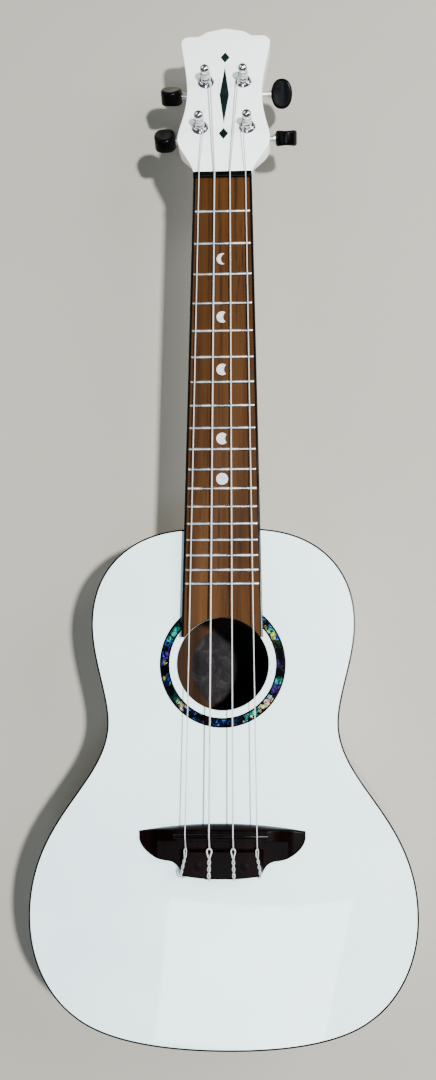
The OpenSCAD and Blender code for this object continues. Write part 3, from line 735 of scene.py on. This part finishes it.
def head_half():
    """Right half of the head's outline, from the nut to the crest's middle."""
    c = HEAD_LEN
    points = [np.array([0.0, HEAD_START])]
    points += chain(
        (NUT_HALF + 0.2, HEAD_START),
        ((18.6, 6), (28.7, 16.5), (28.7, 24), 24),
        ((28.7, 33), (23.7, 42), (23.7, 60), 24),
        ((23.7, 73), (26.9, 88), (28.6, c - 13.2), 24),
        ((29.1, c - 9.7), (27.6, c - 7), (23.4, c - 6.5), 16),
        ((21, c - 6.4), (18.6, c - 6.9), (16.5, c - 6), 10),
        ((14.7, c - 5.2), (13.2, c - 3), (11.4, c - 2.6), 10),
        ((8, c - 1.7), (3.5, c - 0.6), (0, c), 14))
    points.append(np.array([0.0, c]))
    return points


def head_width_at(along):
    points = np.array(head_half())[1:-1]
    flank = points[points[:, 1] < 95]
    return float(np.interp(along, flank[:, 1], flank[:, 0]))


def ramp_shape():
    """Carries the round back of the neck into the flat back of the head."""
    run, flat_from = 24.0, 4.0
    rings = []
    for t in np.linspace(0, 1, 30):
        along = HEAD_START + run * t
        drop = (1 - smoothstep(0.0, 1.0, t)) * (NECK_T + 1.3 - HEAD_T)
        half = min(NUT_HALF, head_width_at(max(along, 0)) - 0.3) * (1 - 0.35 * t ** 2)
        ring = []
        for angle in np.linspace(0, PI, 40):
            c, s = cos(angle), sin(angle)
            x = half * copysign(abs(c) ** FULLNESS, c)
            depth = (HEAD_T - flat_from + drop) * abs(s) ** FULLNESS + flat_from - 0.1 * t
            ring.append((x, along, -depth))
        rings.append(ring)
    return loft(rings)


def build_headstock():
    """A flat plate whose flanks round under towards the nut, as the neck does."""
    hole_r, tuck_most, tuck_end = 4.0, 0.30, 19.0
    holes = [circle(hole_r, post_place(name), 48) for name in TUNERS]
    head = slab("white_head", [mirrored(head_half())] + holes, -HEAD_T, 0.0, 0.8, WHITE,
                node="headstock", sharp=40)
    for vert in head.data.vertices:
        across, along, out = (c / MM for c in vert.co)
        tuck = tuck_most * (1 - smoothstep(HEAD_START, tuck_end, along))
        vert.co.x = across * (1 - tuck * smoothstep(0.0, HEAD_T, -out)) * MM
    head.data.transform(head_matrix())
    piece("neck_to_head_ramp", ramp_shape(), WHITE, matrix=head_matrix(), sharp=50)


def build_head_inlay():
    """One long lozenge between two small diamonds: a plain ornament."""
    half = 3.0
    for index, (along, length) in enumerate(((58, 46), (88.5, 9), (27.5, 9))):
        loop = [(-half, along), (0, along - length / 2), (half, along), (0, along + length / 2)]
        slab(f"head_diamond_{index}", [loop], -0.6, 0.03, 0.03, DARK_INLAY,
             node=None if index else "head_inlay", slot="dark_inlay", matrix=head_matrix())


def fret_y(number):
    return NUT_Y - SCALE_LEN * (1 - 2 ** (-number / 12))


def build_board():
    """Walnut board, scalloped where it meets the soundhole, between two black strips."""
    scallop, edge, slack = HOLE_R + 0.02, 0.4, 0.02
    inner_end = BOARD_END_HALF - BOARD_BINDING
    top_x = min(inner_end, sqrt(scallop ** 2 - (BOARD_END_Y - HOLE[1]) ** 2))
    start = atan2(BOARD_END_Y - HOLE[1], top_x)
    arc = [(scallop * cos(a), HOLE[1] + scallop * sin(a))
           for a in np.linspace(start, PI - start, 60)]
    inset = BOARD_BINDING + slack
    loop = [(NUT_HALF - inset, NUT_Y), (inner_end - slack, BOARD_END_Y)] + arc
    loop += [(slack - inner_end, BOARD_END_Y), (inset - NUT_HALF, NUT_Y)]
    loop = [p for i, p in enumerate(loop) if i == 0 or math.dist(p, loop[i - 1]) > 0.05]
    slab("walnut_fingerboard", [loop], DECK_Z, BOARD_TOP, 0.12, WALNUT,
         node="fingerboard")
    shapes = []
    for hand in (-1, 1):
        rings = []
        for y in np.linspace(NUT_Y, BOARD_END_Y, 40):
            outer = board_half_width(y)
            section = [(outer - BOARD_BINDING, DECK_Z), (outer - BOARD_BINDING, BOARD_TOP),
                       (outer - edge, BOARD_TOP), (outer - edge * 0.3, BOARD_TOP - edge * 0.3),
                       (outer, BOARD_TOP - edge), (outer, DECK_Z)]
            rings.append([(hand * x, y, z) for x, z in section])
        shapes.append(loft(rings))
    piece("board_binding", join(*shapes), BINDING, node="fingerboard_binding")


def build_frets():
    """Crowned wires with dressed ends."""
    shapes = []
    ends = ((0.0, 0.3), (0.08, 0.62), (0.25, 0.85), (0.5, 0.97), (0.8, 1.0))
    base, tang = BOARD_TOP - 0.02, (0.3, BOARD_TOP - 1.5)
    for number in range(1, FRETS + 1):
        y = fret_y(number)
        half = board_half_width(y) - BOARD_BINDING - 0.05
        stations = [(gap - half, scale) for gap, scale in ends]
        stations += [(half - gap, scale) for gap, scale in reversed(ends)]
        rings = []
        for x, scale in stations:
            ring = [(x, y + FRET_H * scale * cos(a), base + FRET_H * scale * sin(a))
                    for a in np.linspace(0, PI, 15)]
            rings.append(ring + [(x, y - tang[0], tang[1]), (x, y + tang[0], tang[1])])
        shapes.append(loft(rings))
    piece("fret_wires", join(*shapes), NICKEL, node="frets", slot="nickel", sharp=60)


MARKER_R = 3.45
MARKER_BITES = ((3, 2.5), (5, 3.9), (7, 4.4), (10, 5.1), (12, 7))


def build_markers():
    """Five pearl discs, each with a smaller bite than the one before, and the last whole."""
    steps = 40
    for index, (number, shift) in enumerate(MARKER_BITES):
        middle = (fret_y(number) + fret_y(number - 1)) / 2
        if shift >= 2 * MARKER_R:
            loop = circle(MARKER_R, (0, middle), 64)
        else:
            horn = math.acos(shift / 2 / MARKER_R)
            arcs = ((0, np.linspace(horn, 2 * PI - horn, steps)),
                    (shift, np.linspace(PI + horn, PI - horn, steps)[1:-1]))
            loop = [(x + MARKER_R * cos(a), middle + MARKER_R * sin(a))
                    for x, angles in arcs for a in angles]
        slab(f"pearl_marker_{number}", [loop], BOARD_TOP - 0.8, BOARD_TOP + 0.03, 0.03,
             PEARL_INLAY, node=None if index else "fret_markers", slot="pearl_inlay")


def height_solid(xs, y_lines, height, floor):
    """A block whose top follows height(x, y), over rows of y for each x."""
    rows = len(xs)
    columns = len(y_lines[0])
    verts = [(x, y, height(x, y)) for x, line in zip(xs, y_lines) for y in line]
    verts += [(x, y, floor) for x, line in zip(xs, y_lines) for y in line]
    base = rows * columns
    faces = grid_faces(rows, columns, wrap_columns=False)
    faces += grid_faces(rows, columns, wrap_columns=False, start=base)
    rim = [i * columns for i in range(rows)]
    rim += [(rows - 1) * columns + j for j in range(1, columns)]
    rim += [i * columns + columns - 1 for i in range(rows - 2, -1, -1)]
    rim += range(columns - 2, 0, -1)
    faces += [(a, b, base + b, base + a) for a, b in zip(rim, rim[1:] + rim[:1])]
    return verts, faces


def build_nut():
    """Bar with a rounded back and a slot for each string."""
    length = NUT_BACK - NUT_Y
    slots = [((k - 1.5) * NUT_PITCH, STRING_R[name]) for k, name in enumerate(TUNERS)]

    def height(x, y):
        back = (y - NUT_Y) / length
        z = NUT_HIGH[2] - 1.6 * max(0.0, back - 0.45) ** 1.6
        z -= 0.25 * math.exp(-((y - NUT_Y) / 0.25) ** 2)
        z -= 0.5 * smoothstep(NUT_HALF - 0.6, NUT_HALF, abs(x))
        for centre, radius in slots:
            gap = abs(x - centre) / (radius + 0.05)
            if gap < 1:
                z = min(z, SLOT_Z + radius * (1 - sqrt(1 - gap * gap)) + 0.01)
        return z

    across = (-1.3, -1.15, -1, -0.8, -0.4, 0, 0.4, 0.8, 1, 1.15, 1.3)
    xs = sorted(set(np.round(np.linspace(-NUT_HALF, NUT_HALF, 121), 3))
                | {round(centre + d * radius, 3) for centre, radius in slots for d in across})
    line = list(NUT_Y + length * np.linspace(0, 1, 15) ** 1.2)
    piece("black_nut", height_solid(xs, [line] * len(xs), height, DECK_Z), BLACK,
          node="nut", sharp=50)


# ---- bridge


WING_H, WING_DROP = 3.9, 1.9
MIDDLE_ENDS = (25.0, 41.0)
VALLEY_FROM, VALLEY_H = (8.3, 9.0), 4.0
TIE_FROM, TIE_ENDS = (13.7, 14.1), (21.6, 23.4)
ROUND_OVER = 1.1


def bridge_half():
    """Right half of the bridge's outline, from its front edge to its rear."""
    t, e = BRIDGE_HALF, BRIDGE_LEN
    points = chain(
        (0, 0), ((22, 0), (t - 12, -2.2), (t, -4), 30),
        ((t, -5), (t, -6), (t, -7), 4),
        ((t, -13), (t - 7.5, -19.6), (t - 16.3, -20.2), 30),
        ((t - 22, -20.8), (24.2, -24), (22.6, 2 - e), 16),
        ((22.1, 1.8 - e), (21.4, 1.6 - e), (20.8, 1.5 - e), 4),
        ((13, 0.5 - e), (10, -e), (0, -e), 16))
    points.append(np.array([0.0, -e]))
    return np.array(points)


def bridge_height(x, back, rim):
    """Height above the top at a distance behind the front edge; rim is the gap to the edge."""
    x = abs(x)
    wing = WING_H - WING_DROP * smoothstep(30.0, BRIDGE_HALF, x)
    middle = 1 - smoothstep(*MIDDLE_ENDS, x)
    front = wing + (BRIDGE_H - wing) * middle * smoothstep(-0.6, 3.0, back)
    valley = smoothstep(*VALLEY_FROM, back)
    z = front * (1 - valley) + min(front, VALLEY_H) * valley
    tie = smoothstep(*TIE_FROM, back) * (1 - smoothstep(*TIE_ENDS, x))
    z = z * (1 - tie) + BRIDGE_H * tie
    if rim < ROUND_OVER:
        z -= ROUND_OVER - sqrt(max(0.0, ROUND_OVER ** 2 - (ROUND_OVER - rim) ** 2))
    return z


def build_bridge():
    outline = bridge_half()
    tip = int(np.argmax(outline[:, 0] > BRIDGE_HALF - 1e-6))
    front, rear = outline[:tip + 1], outline[tip + 4:]
    rear = rear[np.argsort(rear[:, 0])]
    loop = np.array(mirrored([tuple(p) for p in outline]))
    side = np.roll(loop, -1, axis=0) - loop
    side_sq = np.maximum((side ** 2).sum(1), 1e-9)

    def rim_gap(x, y):
        t = np.clip((((x, y) - loop) * side).sum(1) / side_sq, 0, 1)
        near = loop + side * t[:, None]
        return float(np.min(np.hypot(near[:, 0] - x, near[:, 1] - y)))

    spans = ((0, 20, 34), (20, 34.5, 44), (34.5, BRIDGE_HALF - 1.5, 24),
             (BRIDGE_HALF - 1.5, BRIDGE_HALF, 9))
    half_xs = np.unique(np.round(np.concatenate([np.linspace(*span) for span in spans]), 3))
    xs = np.concatenate([-half_xs[:0:-1], half_xs])
    steps = np.concatenate([np.linspace(0, 0.06, 7), np.linspace(0.06, 0.94, 74)[1:],
                            np.linspace(0.94, 1, 7)[1:]])
    lines = []
    for x in xs:
        y0, y1 = (np.interp(abs(x), edge[:, 0], edge[:, 1]) for edge in (front, rear))
        lines.append(y0 + (y1 - y0) * steps)

    def height(x, y):
        return DECK_Z + bridge_height(x, -y, rim_gap(x, y))

    shape = moved(height_solid(xs, lines, height, DECK_Z), (0, BRIDGE_FRONT, 0))
    piece("rosewood_bridge", shape, ROSEWOOD, node="bridge", sharp=50)


def build_plugs():
    """Two wooden plugs over the bridge's screws."""
    plug_x, plug_back = 13.1, 21.8
    profile = [(0.0, -2.0), (2.4, -2.0), (2.4, 0.02), (2.3, 0.06), (0.0, 0.08)]
    shapes = [moved(lathe(profile, 40), (x, BRIDGE_FRONT - plug_back, DECK_Z + BRIDGE_H))
              for x in (-plug_x, plug_x)]
    piece("bridge_plugs", join(*shapes), PLUG, node="bridge_screws")


def build_saddle():
    """Rounded bar with softened ends."""
    half = SADDLE_HIGH[0]
    width = (SADDLE_HIGH[1] - SADDLE_LOW[1]) / 2
    ends = ((0.0, 0.7), (0.25, 0.25), (0.8, 0.0))
    stations = [(gap - half, sink) for gap, sink in ends]
    stations += [(half - gap, sink) for gap, sink in reversed(ends)]
    rings = []
    for x, sink in stations:
        middle = SADDLE_HIGH[2] - width - sink
        arch = [(x, SADDLE_Y + width * cos(a), middle + width * sin(a))
                for a in np.linspace(0, PI, 13)]
        rings.append(arch + [(x, SADDLE_Y - width, SADDLE_LOW[2]),
                             (x, SADDLE_Y + width, SADDLE_LOW[2])])
    piece("black_saddle", loft(rings), BINDING, node="saddle", slot="black_gloss", sharp=60)


# ---- strings

# The tail of each string runs under the tie block, back over it, once round the string in an
# eye, and back along itself. Splay is its lean, end its rear point behind the bridge's front.
WINDING_OUT = 4.6
WAIST_R = 2.4
TIE_HOLE_UP = 4.6
TWISTS = 1.75
TAIL_SPLAY = {"g": -2.4, "c": -0.2, "e": 0.4, "a": 1.9}
TAIL_END = {"g": 26.9, "c": 29.1, "e": 29.1, "a": 27.4}
EYE_HALF = {"g": 0.62, "c": 1.35, "e": 1.15, "a": 0.62}


def string_points(index, name):
    """The route of a string: post, nut, saddle, tie block, and its twisted tail."""
    r = STRING_R[name]
    across, along = post_place(name)
    touch = head_point(across - copysign(WAIST_R + r, across), along, WINDING_OUT + r)
    nut_x = (index - 1.5) * NUT_PITCH
    x = (index - 1.5) * SADDLE_PITCH
    rest = SLOT_Z + r + 0.03
    crest = SADDLE_HIGH[2] + r + 0.03
    back = BRIDGE_FRONT
    hole_z = DECK_Z + TIE_HOLE_UP
    deck = DECK_Z + BRIDGE_H + r
    straight = [touch, (nut_x, NUT_BACK + 0.2, rest), (nut_x, NUT_Y, rest + 0.02),
                (x, SADDLE_Y + 0.4, crest), (x, SADDLE_Y - 0.5, crest - 0.05),
                (x, SADDLE_Y - 3.26, deck + 0.35)]
    splay, over, eye = TAIL_SPLAY[name], TAIL_END[name], EYE_HALF[name]
    rear = back - over
    way_out = back - min(BRIDGE_LEN + 0.8, 31.2 - 0.13 * abs(x))
    tail = [(x, back - 11.7, deck - 0.9), (x, back - 12.3, hole_z + 1.0),
            (x, back - 14.2, hole_z), (x, way_out + 0.9, hole_z),
            (x + splay * 0.3, way_out, hole_z + 0.7),
            (x + splay * 0.95, way_out + 0.35, deck - 1.7),
            (x + splay, rear + 0.1, deck - 0.1)]
    gap = r + 0.2
    twist_from, twist_to = rear + 0.6, back - 16.0

    def twisted(t, phase):
        angle = 2 * PI * TWISTS * t + phase
        return (x + splay * (1 - t) + gap * sin(angle),
                twist_from + (twist_to - twist_from) * t,
                deck + gap * 0.9 + gap * cos(angle) * 0.8)

    tail += [twisted(t, 0.0) for t in np.linspace(0.05, 1.0, 14)]
    tail += [(x + eye * wide, back - far, deck + up) for wide, far, up in (
        (-0.9, 14.4, 0.3), (-1, 13.3, 0), (-0.6, 12.5, -0.3), (0, 12.25, -0.1),
        (0.6, 12.5, -0.3), (1, 13.3, 0), (0.9, 14.4, 0.3))]
    tail += [twisted(t, PI) for t in np.linspace(1.0, 0.0, 15)]
    tail.append((x + splay * 0.9, rear - 0.3, deck + 0.1))
    return straight, tail


def build_strings():
    for index, name in enumerate(TUNERS):
        straight, tail = string_points(index, name)
        path = []
        for a, b in zip(straight, straight[1:]):
            a, b = np.array(a), np.array(b)
            count = max(2, int(np.linalg.norm(b - a) / 4.0))
            path += [a + (b - a) * t for t in np.arange(count) / count]
        path += smooth_path([straight[-1]] + tail, 0.45)
        piece(f"nylon_string_{name}", tube(path, STRING_R[name]), NYLON,
              node=f"string_{name}", slot="nylon", sharp=80)


# ---- tuners

SHAFT_R = 1.5
KNOB_START = 17.4
WORM_HALF = 3.3
EAR_T = 1.6
GEAR_TEETH = 14
GEAR_MOD = 0.65
ROOT_DEPTH = 1.2 * GEAR_MOD
WORM_PITCH = PI * GEAR_MOD
BACKLASH = 0.26
KNOB_TURN = {"g": -22, "c": -32, "e": 44, "a": 133}
KNOB_LEN = 13.6
KNOB_W = 17.6
KNOB_T = 9.4


def tuner_matrix(name):
    across, along = post_place(name)
    return head_matrix(across, along, across < 0)


def build_post(name):
    """Chrome post: waisted, with a ball on top and a foot that the gear sits on."""
    low = worm_place(name)[1]
    gear_half, ball, ball_out = 1.2, 2.98, 9.8
    profile = [(0.0, low - gear_half), (2.0, low - gear_half), (2.0, low + gear_half),
               (3.0, low + gear_half), (3.0, 2.6), (2.9, 3.2), (2.6, 3.7), (2.42, 4.3),
               (2.4, 5.2), (2.4, 7.4), (2.43, 7.9)]
    profile += [(ball * cos(a), ball_out + ball * sin(a))
                for a in np.radians(np.linspace(-34, 89, 20))]
    profile += [(0.0, ball_out + ball)]
    piece(f"chrome_post_{name}", lathe(profile), CHROME, node=f"post_{name}",
          slot="chrome_hardware", body=f"string_post_{name}", matrix=tuner_matrix(name),
          sharp=50)


def build_winding(name):
    """Turns of string round the post's waist, with the end tucked through it."""
    r = STRING_R[name]
    radius = WAIST_R + r
    turns = min(3.0, 1.5 / r - 1)
    path = []
    for t in np.linspace(0, 1, int(turns * 32)):
        angle = PI - 2 * PI * turns * t
        path.append((radius * cos(angle), radius * sin(angle),
                     WINDING_OUT + r + turns * 2 * r * t * 0.98))
    top = path[-1][2]
    after = PI - 2 * PI * (turns + 0.12)
    end = [(radius * 0.8 * cos(after), radius * 0.8 * sin(after), top + 0.1),
           (0.0, 0.0, top + 0.15)]
    path = path[:-2] + smooth_path([path[-2]] + end, 0.4)[1:]
    piece(f"string_turns_{name}", tube(path, r), NYLON, node=f"winding_{name}",
          slot="nylon", body=f"string_post_{name}", matrix=tuner_matrix(name), sharp=80)


def build_bushings():
    """The domed collars that the posts turn in."""
    profile = [(3.06, -7.0), (4.0, -7.0), (4.0, 0.0), (5.3, 0.0), (5.35, 0.25), (5.2, 0.6),
               (4.6, 1.0), (4.3, 1.5), (3.9, 1.85), (3.4, 1.95), (3.1, 1.9), (3.06, 1.7)]
    verts, faces = lathe(profile, wrap=True)
    shapes = []
    for name in TUNERS:
        matrix = tuner_matrix(name)
        shapes.append(([tuple((matrix @ Vector(np.array(v) * MM)) / MM) for v in verts], faces))
    piece("post_bushing_set", join(*shapes), CHROME, node="post_bushings",
          slot="chrome_hardware", sharp=60)


def thread_shape(worm_r):
    """The worm's single thread, as one skin."""
    tip, foot = worm_r + GEAR_MOD, worm_r - ROOT_DEPTH - 0.15
    half = (WORM_PITCH / 2 - BACKLASH) / 2
    slope = math.tan(radians(20))
    wide, narrow = half + (worm_r - foot) * slope, half - GEAR_MOD * slope
    rings = []
    for a in np.radians(np.arange(-378, 378.1, 6)):
        x = WORM_PITCH * a / (2 * PI)
        rings.append([(x + dx, -q * cos(a), -q * sin(a)) for q, dx in (
            (foot, -wide), (foot, wide), (tip, narrow), (tip, -narrow))])
    return loft(rings)


def build_worm(name):
    """Worm, its shaft, and three collars that grow towards the knob."""
    worm_dist, low = worm_place(name)
    worm_r = worm_dist - GEAR_MOD * GEAR_TEETH / 2
    root = worm_r - ROOT_DEPTH
    end, bevel, knob_socket = WORM_HALF + EAR_T, 0.12, KNOB_START + 7.5
    shaft = [(0.0, -end - 0.8), (SHAFT_R - 0.2, -end - 0.8), (SHAFT_R, -end - 0.6),
             (SHAFT_R, -WORM_HALF), (root, -WORM_HALF), (root, WORM_HALF),
             (SHAFT_R, WORM_HALF)]
    for start, long, radius in ((-2.9, 0.75, 1.95), (-1.95, 0.8, 2.35), (-0.95, 0.93, 2.75)):
        at = KNOB_START + start
        shaft += [(SHAFT_R, at), (radius - bevel, at), (radius, at + bevel),
                  (radius, at + long - bevel), (radius - bevel, at + long), (SHAFT_R, at + long)]
    shaft += [(SHAFT_R, knob_socket), (0.0, knob_socket)]
    shape = join(thread_shape(worm_r), along_x(lathe(shaft, 48)))
    piece(f"worm_shaft_{name}", moved(shape, (0, worm_dist, low)), SATIN, node=f"worm_{name}",
          slot="chrome_hardware", body=f"knob_shaft_{name}", matrix=tuner_matrix(name), sharp=40)


def build_knob(name):
    """Oval button: straight rim with rounded edges, and a thumb hollow across each broad face."""
    worm_dist, low = worm_place(name)
    edge, dip = 1.6, 0.55
    half_len, half_w = KNOB_LEN / 2, KNOB_W / 2
    angles = np.linspace(0, 2 * PI, 96, endpoint=False)

    def ring(scale, inset, drop):
        points = []
        for a in angles:
            c, s = cos(a), sin(a)
            x = (half_len - inset) * scale * copysign(abs(c) ** 0.88, c)
            y = (half_w - inset) * scale * copysign(abs(s) ** 0.92, s)
            hollow = dip * cos(PI * x / KNOB_LEN) ** 2
            points.append((x + half_len, y, KNOB_T / 2 - hollow - drop))
        return points

    upper = [ring(scale, edge, 0.0)
             for scale in (0.001, 0.12, 0.25, 0.38, 0.5, 0.62, 0.74, 0.85, 0.94, 1)]
    upper += [ring(1.0, edge * (1 - sin(a)), edge * (1 - cos(a)))
              for a in np.linspace(0.2, PI / 2, 8)]
    lower = [[(x, y, -z) for x, y, z in points] for points in reversed(upper)]
    turn = Matrix.Rotation(radians(KNOB_TURN[name]), 4, "X")
    place = Matrix.Translation(Vector((KNOB_START, worm_dist, low)) * MM)
    piece(f"black_knob_{name}", loft(upper + lower), BLACK, node=f"knob_{name}",
          body=f"knob_shaft_{name}", matrix=tuner_matrix(name) @ place @ turn, sharp=60)


# ---- carried-over CAD nodes

KEPT = (
    (BRACE_WOOD, ("linings", "top_braces", "fan_braces", "back_braces")),
    (BARE_WOOD, ("neck_block", "tail_block", "bridge_plate", "soundhole_ring")),
    (LABEL, ("label",)),
    (CHROME, ("tuner_plates", "plate_screws", *("gear_screw_" + name for name in TUNERS))),
    (NYLON, ("tuner_washers",)),
    (BRASS, ["gear_" + name for name in TUNERS]),
)
BEVELLED = ("tuner_plates", "plate_screws", "tuner_washers", "linings", "top_braces",
            "fan_braces", "back_braces")


def dress_kept_nodes():
    """Materials for the CAD nodes that no piece replaces, and soft edges where they show."""
    for material, names in KEPT:
        for name in names:
            obj = frame["nodes"][name]
            obj.data.materials.clear()
            obj.data.materials.append(material)
            if name in BEVELLED:
                bevel = obj.modifiers.new("soft_edges", "BEVEL")
                bevel.width = (0.15 if "tuner" in name or "screw" in name else 0.5) * MM
                bevel.segments = 2
                bevel.limit_method = "ANGLE"
                bevel.angle_limit = radians(50)


# ---- stage

CAMERA_FROM_NUT = (38.0, -283.7, 523.3)
CAMERA_TILT = (0.0980, 0.0372, -0.0024)


def build_camera():
    data = bpy.data.cameras.new("view")
    data.sensor_width = 36.0
    data.lens = 30.0
    data.shift_x = -0.0338
    data.shift_y = 0.0185
    data.clip_start = 0.01
    camera = add_object("view", data)
    place = np.array([0.0, NUT_Y, DECK_Z]) + CAMERA_FROM_NUT
    camera.location = Vector(place * MM)
    camera.rotation_euler = CAMERA_TILT
    bpy.context.scene.camera = camera


def area_light(name, place, target, size, power, colour=(1.0, 1.0, 1.0)):
    data = bpy.data.lights.new(name, "AREA")
    data.shape = "RECTANGLE"
    data.size, data.size_y = size
    data.energy = power
    data.color = colour
    light = add_object(name, data)
    light.location = place
    direction = Vector(target) - Vector(place)
    light.rotation_euler = direction.to_track_quat("-Z", "Y").to_euler()


def build_stage():
    mesh = bpy.data.meshes.new("floor")
    size = 4.0
    mesh.from_pydata([(-size, -size, 0), (size, -size, 0), (size, size, 0), (-size, size, 0)],
                     [], [(0, 1, 2, 3)])
    mesh.materials.append(floor_finish())
    add_object("floor", mesh)
    world = bpy.data.worlds.new("studio")
    bpy.context.scene.world = world
    world.use_nodes = True
    background = world.node_tree.nodes["Background"].inputs
    background["Color"].default_value = (0.90, 0.96, 1.0, 1)
    background["Strength"].default_value = 0.14
    area_light("key", (0.50, -0.03, 1.42), (0, -0.05, 0.05), (0.07, 0.07), 67.0)
    area_light("soft_left", (-1.35, 0.95, 1.40), (0, 0, 0.05), (1.3, 1.3), 15.0)
    area_light("soft_right", (1.60, 0.75, 1.35), (0, 0, 0.05), (1.0, 1.2), 46.0)
    area_light("window", (-0.05, -0.735, 1.55), (0.0, -0.26, 0.07), (0.35, 0.38), 7.5,
               (0.66, 0.82, 1.0))


for build in (build_camera, build_stage, build_top, build_back, build_bindings, build_sides,
              build_rosette, build_neck, build_headstock, build_head_inlay, build_board,
              build_frets, build_markers, build_nut, build_bridge, build_plugs, build_saddle,
              build_strings, build_bushings):
    build()
for tuner in TUNERS:
    for build in (build_post, build_winding, build_worm, build_knob):
        build(tuner)
dress_kept_nodes()
